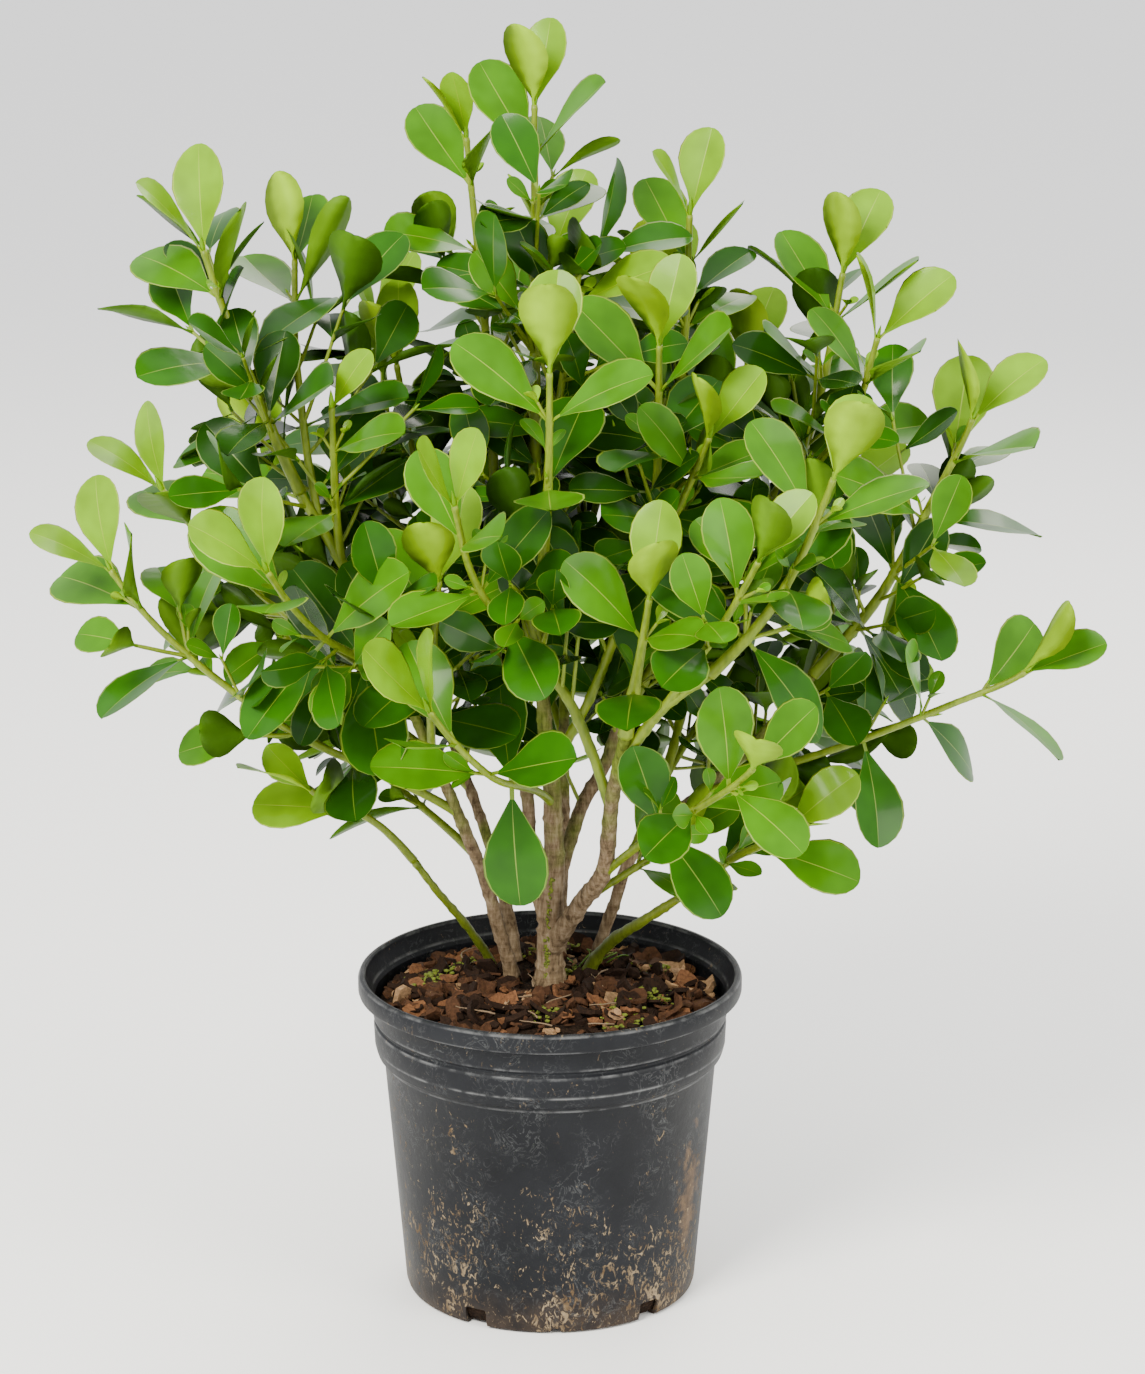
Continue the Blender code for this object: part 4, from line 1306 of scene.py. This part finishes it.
def pot_profile():
    outside = [
        (0.0, 0.0), (BASE_RADIUS - 0.0045, 0.0), (BASE_RADIUS - 0.0018, 0.0012),
        (BASE_RADIUS - 0.0006, 0.005),
        (BASE_RADIUS, 0.012), (0.1145, 0.094), (0.1214, WALL_TOP - 0.001), (0.1226, WALL_TOP + 0.0015),
        (0.1262, WALL_TOP + 0.005), (0.1272, WALL_TOP + 0.008), (0.1282, WALL_TOP + 0.012),
        (0.1289, 0.2022),
        (0.1283, 0.2042), (0.1271, 0.2054), (0.1270, 0.2066), (0.1284, 0.2080), (0.1292, 0.2092),
        (0.1299, 0.2235), (0.1305, 0.2255), (0.1380, 0.2258), (0.1394, 0.2266), (RIM_RADIUS, 0.2285),
        (RIM_RADIUS, POT_HEIGHT - 0.0035), (RIM_RADIUS - 0.0010, POT_HEIGHT - 0.0010),
        (RIM_RADIUS - 0.0026, POT_HEIGHT),
    ]
    inside = [
        (RIM_RADIUS - 0.0042, POT_HEIGHT - 0.0002), (RIM_RADIUS - 0.0052, POT_HEIGHT - 0.0015),
        (RIM_RADIUS - 0.0060, POT_HEIGHT - 0.0060), (0.1300 - POT_WALL, 0.2225),
        (0.1283 - POT_WALL, 0.186),
        (0.1215 - POT_WALL, 0.178), (BASE_RADIUS - POT_WALL, 0.010), (BASE_RADIUS - 0.005, POT_FLOOR),
        (0.0, POT_FLOOR),
    ]
    return outside + inside


def spun(name, profile, segments):
    bm = bmesh.new()
    edge = [bm.verts.new((radius, 0.0, height)) for radius, height in profile]
    lines = [bm.edges.new(pair) for pair in zip(edge, edge[1:])]
    bmesh.ops.spin(bm, geom=edge + lines, cent=(0, 0, 0), axis=(0, 0, 1), angle=math.tau,
                   steps=segments, use_merge=True)
    bmesh.ops.remove_doubles(bm, verts=bm.verts, dist=1e-6)
    bmesh.ops.recalc_face_normals(bm, faces=bm.faces)
    return shown(name, mesh_of(name, bm))


def notch_cutter():
    """All the notches as one cutter, each a block with rounded upper corners."""
    bm = bmesh.new()
    for index in range(NOTCH_COUNT):
        turn = math.radians(NOTCH_FIRST_DEG + index * 360.0 / NOTCH_COUNT)
        made = bmesh.ops.create_cube(bm, size=1.0)["verts"]
        bmesh.ops.scale(bm, vec=(NOTCH_SIZE[0], NOTCH_SIZE[1], 2 * NOTCH_SIZE[2]), verts=made)
        bmesh.ops.translate(bm, vec=(0, -BASE_RADIUS, 0), verts=made)
        corners = [e for e in {e for v in made for e in v.link_edges}
                   if all(v.co.z > 0 for v in e.verts) and abs(e.verts[0].co.x - e.verts[1].co.x) < 1e-6]
        rounded = bmesh.ops.bevel(bm, geom=corners, offset=0.0022, offset_type="OFFSET", segments=4,
                                  profile=0.5, affect="EDGES", material=-1)["verts"]
        whole = list({v for v in made if v.is_valid} | set(rounded))
        bmesh.ops.rotate(bm, cent=(0, 0, 0), matrix=Matrix.Rotation(turn, 3, "Z"), verts=whole)
    round_hole = bmesh.ops.create_cone(bm, cap_ends=True, segments=16, radius1=0.0042, radius2=0.0042,
                                       depth=0.02)["verts"]
    bmesh.ops.rotate(bm, cent=(0, 0, 0), matrix=Matrix.Rotation(math.pi / 2, 3, "X"), verts=round_hole)
    bmesh.ops.translate(bm, vec=(0.004, -BASE_RADIUS, 0.0), verts=round_hole)
    return shown("notch_cutter", mesh_of("notch_cutter", bm))


def cut(thing, cutter):
    modifier = thing.modifiers.new("cut", "BOOLEAN")
    modifier.operation = "DIFFERENCE"
    modifier.object = cutter
    graph = bpy.context.evaluated_depsgraph_get()
    mesh = bpy.data.meshes.new_from_object(thing.evaluated_get(graph))
    thing.modifiers.remove(modifier)
    thing.data = mesh
    bpy.data.objects.remove(cutter)


print("pot helpers ready")

# %% [markdown]
# The black plastic has aged. Fine pale scuffs lie all over it, the raised bands and the lip are paler,
# partly from wear and partly as a painted highlight, soil has splashed up from the foot and dried, and a
# brown smear runs down one side.
# Each of these is a mask, made from noise and height, which mixes one more colour in.

# %% Pot plastic
BLACK = (0.0, 0.0, 0.0)
WHITE = (1.0, 1.0, 1.0)
RIDGE_HEIGHTS = (0.1765, 0.1885, 0.2032, 0.2092, 0.2262, 0.2385)
RIDGE_BAND = 0.0011
SMEAR_CENTRE = (0.098, -0.050, 0.085)
SMEAR_SIZE = (0.030, 0.030, 0.085)


def pot_finish():
    """Black plastic gone grey: scuffed all over, paler at its ridges as wear and a painted highlight, with
    dried soil at its foot.
    """
    finish = Finish("pot_plastic", (0.010, 0.011, 0.013), 0.5, Specular_IOR_Level=0.12)
    cloud = finish.noise(8.0, 7.0, 0.68)
    plastic = finish.ramp(cloud, [(0.32, (0.0045, 0.0050, 0.0065)), (0.68, (0.0120, 0.0130, 0.0160))])
    contour = finish.noise(75.0, 4.0, 0.65, distortion=1.2)
    hairs = finish.ramp(contour, [(0.480, BLACK), (0.498, WHITE), (0.502, WHITE), (0.520, BLACK)])
    patches = finish.level(finish.noise(26.0, 4.0, 0.6), 0.44, 0.62)
    scuffs = finish.math("MULTIPLY", hairs, patches)
    marked_plastic = finish.mix(finish.math("MULTIPLY", scuffs, 0.60), plastic, (0.075, 0.078, 0.080))
    # Painted highlight: thin pale bands at the ridges and the lip's edge, partly wear of the plastic and
    # partly light painted where the edges would catch it.
    stops = [(0.0, BLACK)]
    for ridge in RIDGE_HEIGHTS:
        for offset, shade in ((-RIDGE_BAND, BLACK), (0.0, WHITE), (RIDGE_BAND, BLACK)):
            stops.append(((ridge + offset) / POT_HEIGHT, shade))
    ridges = finish.ramp(finish.level(finish.height(), 0.0, POT_HEIGHT), stops)
    ridge_wear_and_highlight_amount = finish.level(finish.noise(60.0, 4.0, 0.6), 0.42, 0.60, 0.08, 0.85)
    ridge_wear_and_highlight = finish.math("MULTIPLY", ridges, ridge_wear_and_highlight_amount)
    marked_plastic = finish.mix(ridge_wear_and_highlight, marked_plastic, (0.145, 0.148, 0.152))
    low = finish.level(finish.height(), 0.150, 0.0)
    field = finish.level(finish.noise(17.0, 4.0, 0.65), 0.35, 0.70, -0.07, 0.07)
    grit = finish.noise(190.0, 5.0, 0.68, finish.stretched((1.0, 1.0, 0.55)), distortion=1.6)
    speck = finish.math("ADD", grit, finish.math("MULTIPLY", low, 0.110))
    dirt = finish.level(finish.math("ADD", speck, field), 0.640, 0.70)
    foot = finish.level(finish.height(), 0.036, 0.0, 0.0, 0.45)
    film = finish.math("MULTIPLY", foot, finish.noise(30.0, 6.0, 0.7))
    shift = finish.node("ShaderNodeMapping")
    shift.inputs["Location"].default_value = [-c / size for c, size in zip(SMEAR_CENTRE, SMEAR_SIZE)]
    shift.inputs["Scale"].default_value = [1.0 / size for size in SMEAR_SIZE]
    finish.link(finish.place, shift.inputs["Vector"])
    blob = finish.node("ShaderNodeTexGradient", gradient_type="SPHERICAL")
    finish.link(shift.outputs["Vector"], blob.inputs["Vector"])
    frayed = finish.level(finish.noise(70.0, 6.0, 0.7), 0.3, 0.7, -0.5, 0.45)
    smear = finish.math("ADD", blob.outputs["Fac"], frayed)
    stain = finish.math("MAXIMUM", film, finish.level(smear, 0.42, 0.75, 0.0, 0.75))
    brown = finish.ramp(finish.noise(90.0, 4.0),
                        [(0.35, (0.040, 0.021, 0.009)), (0.65, (0.130, 0.078, 0.038))])
    soil = finish.ramp(finish.noise(60.0, 3.0),
                       [(0.38, (0.095, 0.060, 0.030)), (0.62, (0.270, 0.205, 0.125))])
    stained = finish.mix(stain, marked_plastic, brown)
    finish.colour(finish.mix(finish.math("MULTIPLY", dirt, 0.85), stained, soil))
    matt = finish.math("MULTIPLY", dirt, 0.35)
    finish.rough(finish.math("ADD", matt, finish.level(cloud, 0.3, 0.7, 0.36, 0.55)))
    grain = finish.noise(120.0, 6.0, 0.7)
    finish.bump(finish.math("ADD", grain, finish.math("MULTIPLY", dirt, 0.4)), 0.0006, 0.4)
    return finish


def make_pot():
    pot = spun("nursery_pot", pot_profile(), POT_SEGMENTS)
    cut(pot, notch_cutter())
    pot.data.shade_smooth()
    pot.data.set_sharp_from_angle(angle=math.radians(24.0))
    pot.data.materials.clear()
    pot.data.materials.append(pot_finish().material)
    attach(pot, PIECE_BODY)
    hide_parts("pot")
    print("faces of the pot:", len(pot.data.polygons))


make_pot()

# %% [markdown]
# ## Soil and bark mulch
#
# The pot is filled to a finger's width below its rim. A spun body with a rough top is the soil
# itself. On it lie hundreds of chips of bark, curled and broken, with dark gaps between them,
# and tufts of moss. A chip is a small bent plate of a few faces, repeated and turned.

# %% The soil's body
SOIL_EDGE_HEIGHT = 0.214
MOUND_RADIUS = 0.075
SOIL_TOP_RADIUS = 0.1268
SOIL_RINGS = 26
SOIL_SEGMENTS = 96


def soil_height(x, y):
    """The height of the soil's surface, without the chips."""
    reach = math.hypot(x, y)
    if reach < MOUND_RADIUS:
        level = SOIL_HEIGHT
    else:
        share = (reach - MOUND_RADIUS) / (SOIL_TOP_RADIUS - MOUND_RADIUS)
        level = SOIL_HEIGHT + (SOIL_EDGE_HEIGHT - SOIL_HEIGHT) * min(share, 1.0)
    rough = noise.noise(Vector((x * 55, y * 55, 0.0))) + 0.6 * noise.noise(Vector((x * 140, y * 140, 3.0)))
    return level - 0.002 + 0.0022 * rough


def make_soil():
    foot = POT_FLOOR + GAP
    slack = POT_WALL + 0.0010
    profile = [(0.0, foot), (BASE_RADIUS - 0.0062, foot), (BASE_RADIUS - slack, 0.011),
               (0.1215 - slack, 0.1775), (0.1283 - slack, 0.190), (SOIL_TOP_RADIUS, SOIL_EDGE_HEIGHT)]
    for ring in range(1, SOIL_RINGS + 1):
        profile.append((SOIL_TOP_RADIUS * (1 - ring / SOIL_RINGS), SOIL_HEIGHT))
    soil = spun("soil", profile, SOIL_SEGMENTS)
    for vertex in soil.data.vertices:
        if vertex.co.z > SOIL_EDGE_HEIGHT - 0.0005:
            vertex.co.z = soil_height(vertex.co.x, vertex.co.y)
    soil.data.update()
    soil.data.shade_smooth()
    finish = Finish("bark_soil", (0.018, 0.010, 0.006), 0.95, Specular_IOR_Level=0.1)
    crumbs = finish.noise(380.0, 6.0, 0.7)
    finish.colour(finish.ramp(crumbs, [(0.35, (0.004, 0.0025, 0.0015)), (0.55, (0.018, 0.010, 0.006)),
                                       (0.75, (0.050, 0.028, 0.016))]))
    finish.bump(crumbs, 0.0015, 1.0)
    soil.data.materials.append(finish.material)
    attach(soil, PIECE_BODY)
    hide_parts("root_ball")
    print("faces of the soil:", len(soil.data.polygons))


make_soil()

# %% [markdown]
# The mulch is broken bark in four browns, from nearly black to tan, dealt out by chance; the
# near-black chips take the largest share partly as bark's own colour and partly as painted shade
# between the chips. Moss grows on it in small patches and up the front of the trunk in a streak,
# and thin roots and a few green sprigs lie between the chips.

# %% Bark chips, moss and straws
CHIP_COUNT = 760
CHIP_TONES = {
    "chips_dark": ((0.016, 0.0075, 0.0040), 0.9), "chips_brown": ((0.055, 0.024, 0.011), 0.85),
    "chips_red": ((0.135, 0.058, 0.025), 0.8), "chips_tan": ((0.260, 0.155, 0.080), 0.8),
}
# Painted shade in part: the near-black chips take the largest share, darkening the mulch as the shade
# between chips does.
CHIP_SHARES = (0.36, 0.34, 0.20, 0.10)
CHIP_SHAPES = 12
MOSS_COUNT = 760
MOSS_PATCHES = 17
MOSS_SHAPES = 5
TRUNK_MOSS_COUNT = 150
TRUNK_MOSS_HEIGHT = 0.085
TRUNK_MOSS_AZIMUTH = -105.0
STRAW_COUNT = 16
SPRIG_COUNT = 7
CHIP_SEED = 77
MOSS_SEED = 91
STRAW_SEED = 53


def chip_template(seed):
    """A broken flake of bark: a small grid with torn edges, bent and given a thickness."""
    dice = random.Random(seed)
    bm = bmesh.new()
    bmesh.ops.create_grid(bm, x_segments=4, y_segments=2, size=0.5)
    width = dice.uniform(0.40, 0.80)
    bend = dice.uniform(-0.8, 1.2)
    skew = dice.uniform(-0.3, 0.3)
    for vertex in bm.verts:
        edge = abs(vertex.co.x) > 0.4 or abs(vertex.co.y) > 0.4
        tear = 0.07 if edge else 0.03
        corner = 0.80 if abs(vertex.co.x) > 0.4 and abs(vertex.co.y) > 0.4 else 1.0
        vertex.co.x = vertex.co.x * corner + dice.uniform(-tear, tear)
        vertex.co.y = (vertex.co.y + skew * vertex.co.x) * width * corner + dice.uniform(-tear, tear)
        vertex.co.z = bend * vertex.co.x ** 2 + 0.8 * bend * vertex.co.y ** 2 + dice.uniform(-0.06, 0.06)
    bmesh.ops.solidify(bm, geom=bm.faces, thickness=dice.uniform(0.10, 0.22))
    return mesh_of("chip", bm)


def moss_template(seed):
    """A tuft of moss: a lumpy ball of a few faces."""
    dice = random.Random(seed)
    bm = bmesh.new()
    bmesh.ops.create_icosphere(bm, subdivisions=1, radius=0.5)
    for vertex in bm.verts:
        vertex.co *= dice.uniform(0.7, 1.25)
        vertex.co.z *= 0.6
    return mesh_of("moss", bm)


def soil_place(dice, limit):
    """A random place on the soil, clear of the pot's wall and of the stems' feet."""
    feet = [(Vector((*LIMBS[name][2][0], 0.0)), stem.foot_radius)
            for name, stem in limbs.items() if LIMBS[name][0] is None]
    while True:
        reach = limit * math.sqrt(dice.random())
        turn = dice.uniform(0.0, math.tau)
        x, y = reach * math.cos(turn), reach * math.sin(turn)
        if all((Vector((x, y, 0.0)) - foot).length > radius * 1.25 for foot, radius in feet):
            return x, y


def make_chips():
    dice = random.Random(CHIP_SEED)
    templates = [chip_template(seed) for seed in range(CHIP_SHAPES)]
    rows = {name: [] for name in CHIP_TONES}
    for _ in range(CHIP_COUNT):
        size = 0.007 + 0.021 * dice.random() ** 2.2
        x, y = soil_place(dice, SOIL_TOP_RADIUS - 0.45 * size - 0.001)
        heading = dice.uniform(0.0, math.tau)
        tilt = dice.gauss(0.0, 0.42)
        roll = dice.gauss(0.0, 0.45)
        turn = Matrix.Rotation(heading, 3, "Z") @ Matrix.Rotation(tilt, 3, "Y")
        turn = turn @ Matrix.Rotation(roll, 3, "X")
        place = Vector((x, y, soil_height(x, y) + dice.uniform(0.0006, 0.0060)))
        tone = dice.choices(list(CHIP_TONES), CHIP_SHARES)[0]
        matrix = Matrix.Translation(place) @ turn.to_4x4() @ Matrix.Diagonal((size, size, size, 1.0))
        rows[tone].append((dice.choice(templates), matrix))
    for name, copies in rows.items():
        colour, roughness = CHIP_TONES[name]
        finish = Finish(name, colour, roughness, Specular_IOR_Level=0.15)
        fibre = finish.noise(420.0, 4.0, 0.6)
        finish.colour(finish.ramp(fibre, [(0.3, tuple(c * 0.55 for c in colour)),
                                          (0.7, tuple(min(c * 1.4, 1.0) for c in colour))]))
        finish.bump(fibre, 0.0006, 0.8)
        piece = joined_copies(name, copies, [finish])
        piece.data.set_sharp_from_angle(angle=math.radians(40.0))
        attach(piece, PIECE_BODY)
    print("chips:", CHIP_COUNT)


def make_moss():
    dice = random.Random(MOSS_SEED)
    templates = [moss_template(seed) for seed in range(MOSS_SHAPES)]
    patches = [soil_place(dice, 0.105) for _ in range(MOSS_PATCHES)]
    rows = []
    for _ in range(MOSS_COUNT):
        patch = dice.choice(patches)
        x, y = patch[0] + dice.gauss(0.0, 0.0080), patch[1] + dice.gauss(0.0, 0.0060)
        if math.hypot(x, y) > SOIL_TOP_RADIUS - 0.006:
            continue
        size = dice.uniform(0.0018, 0.0052)
        place = Vector((x, y, soil_height(x, y) + dice.uniform(0.0025, 0.0070)))
        matrix = Matrix.Translation(place) @ Matrix.Rotation(dice.uniform(0, 6), 4, "Z")
        rows.append((dice.choice(templates), matrix @ Matrix.Diagonal((size, size, size, 1.0))))
    for _ in range(TRUNK_MOSS_COUNT):
        rise = dice.random() ** 1.6 * TRUNK_MOSS_HEIGHT
        point, along = limbs["trunk"].at(rise)
        radius = limbs["trunk"].radius(rise) * LIMB_SLENDER
        turn = math.radians(TRUNK_MOSS_AZIMUTH + dice.gauss(0.0, 6.0))
        outwards = Vector((math.cos(turn), math.sin(turn), 0.0))
        size = dice.uniform(0.0012, 0.0030)
        rows.append((dice.choice(templates), placed(point + outwards * radius, along, outwards, size)))
    finish = Finish("moss", (0.09, 0.14, 0.01), 0.9)
    finish.colour(finish.ramp(finish.noise(500.0, 3.0),
                              [(0.3, (0.050, 0.072, 0.003)), (0.7, (0.165, 0.195, 0.010))]))
    piece = joined_copies("moss", rows, [finish])
    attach(piece, PIECE_BODY)
    print("moss tufts:", len(rows))


def straw(dice, place, heading, rise, length, radius):
    """The points and radii of one thin, bent straw."""
    rows = []
    point = place.copy()
    for step in range(9):
        rows.append((point.copy(), radius * (1.0 - 0.06 * step)))
        heading += dice.uniform(-0.35, 0.35)
        way = Vector((math.cos(heading), math.sin(heading), 0.0)) * math.cos(rise)
        point += (way + Vector((0.0, 0.0, math.sin(rise)))) * length / 8
        rise *= 0.8
    return rows


def make_straws():
    """Thin roots on the soil, and a few green sprigs behind the trunk."""
    dice = random.Random(STRAW_SEED)
    profiles, slots = [], []
    for _ in range(STRAW_COUNT):
        x, y = soil_place(dice, 0.095)
        place = Vector((x, y, soil_height(x, y) + 0.007))
        heading = dice.uniform(0, math.tau)
        profiles.append(straw(dice, place, heading, 0.12, dice.uniform(0.018, 0.036), 0.0007))
        slots.append(0)
    for _ in range(SPRIG_COUNT):
        place = Vector((dice.uniform(-0.020, 0.045), dice.uniform(0.030, 0.055), SOIL_HEIGHT - 0.004))
        heading = dice.uniform(0, math.tau)
        profiles.append(straw(dice, place, heading, 1.25, dice.uniform(0.02, 0.04), 0.0008))
        slots.append(1)
    finishes = (Finish("dry_root", (0.16, 0.105, 0.060), 0.8),
                Finish("green_sprig", (0.085, 0.170, 0.010), 0.6))
    piece = curve_of("straws", profiles, 1, finishes, slots)
    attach(piece, PIECE_BODY)


make_chips()
make_moss()
make_straws()
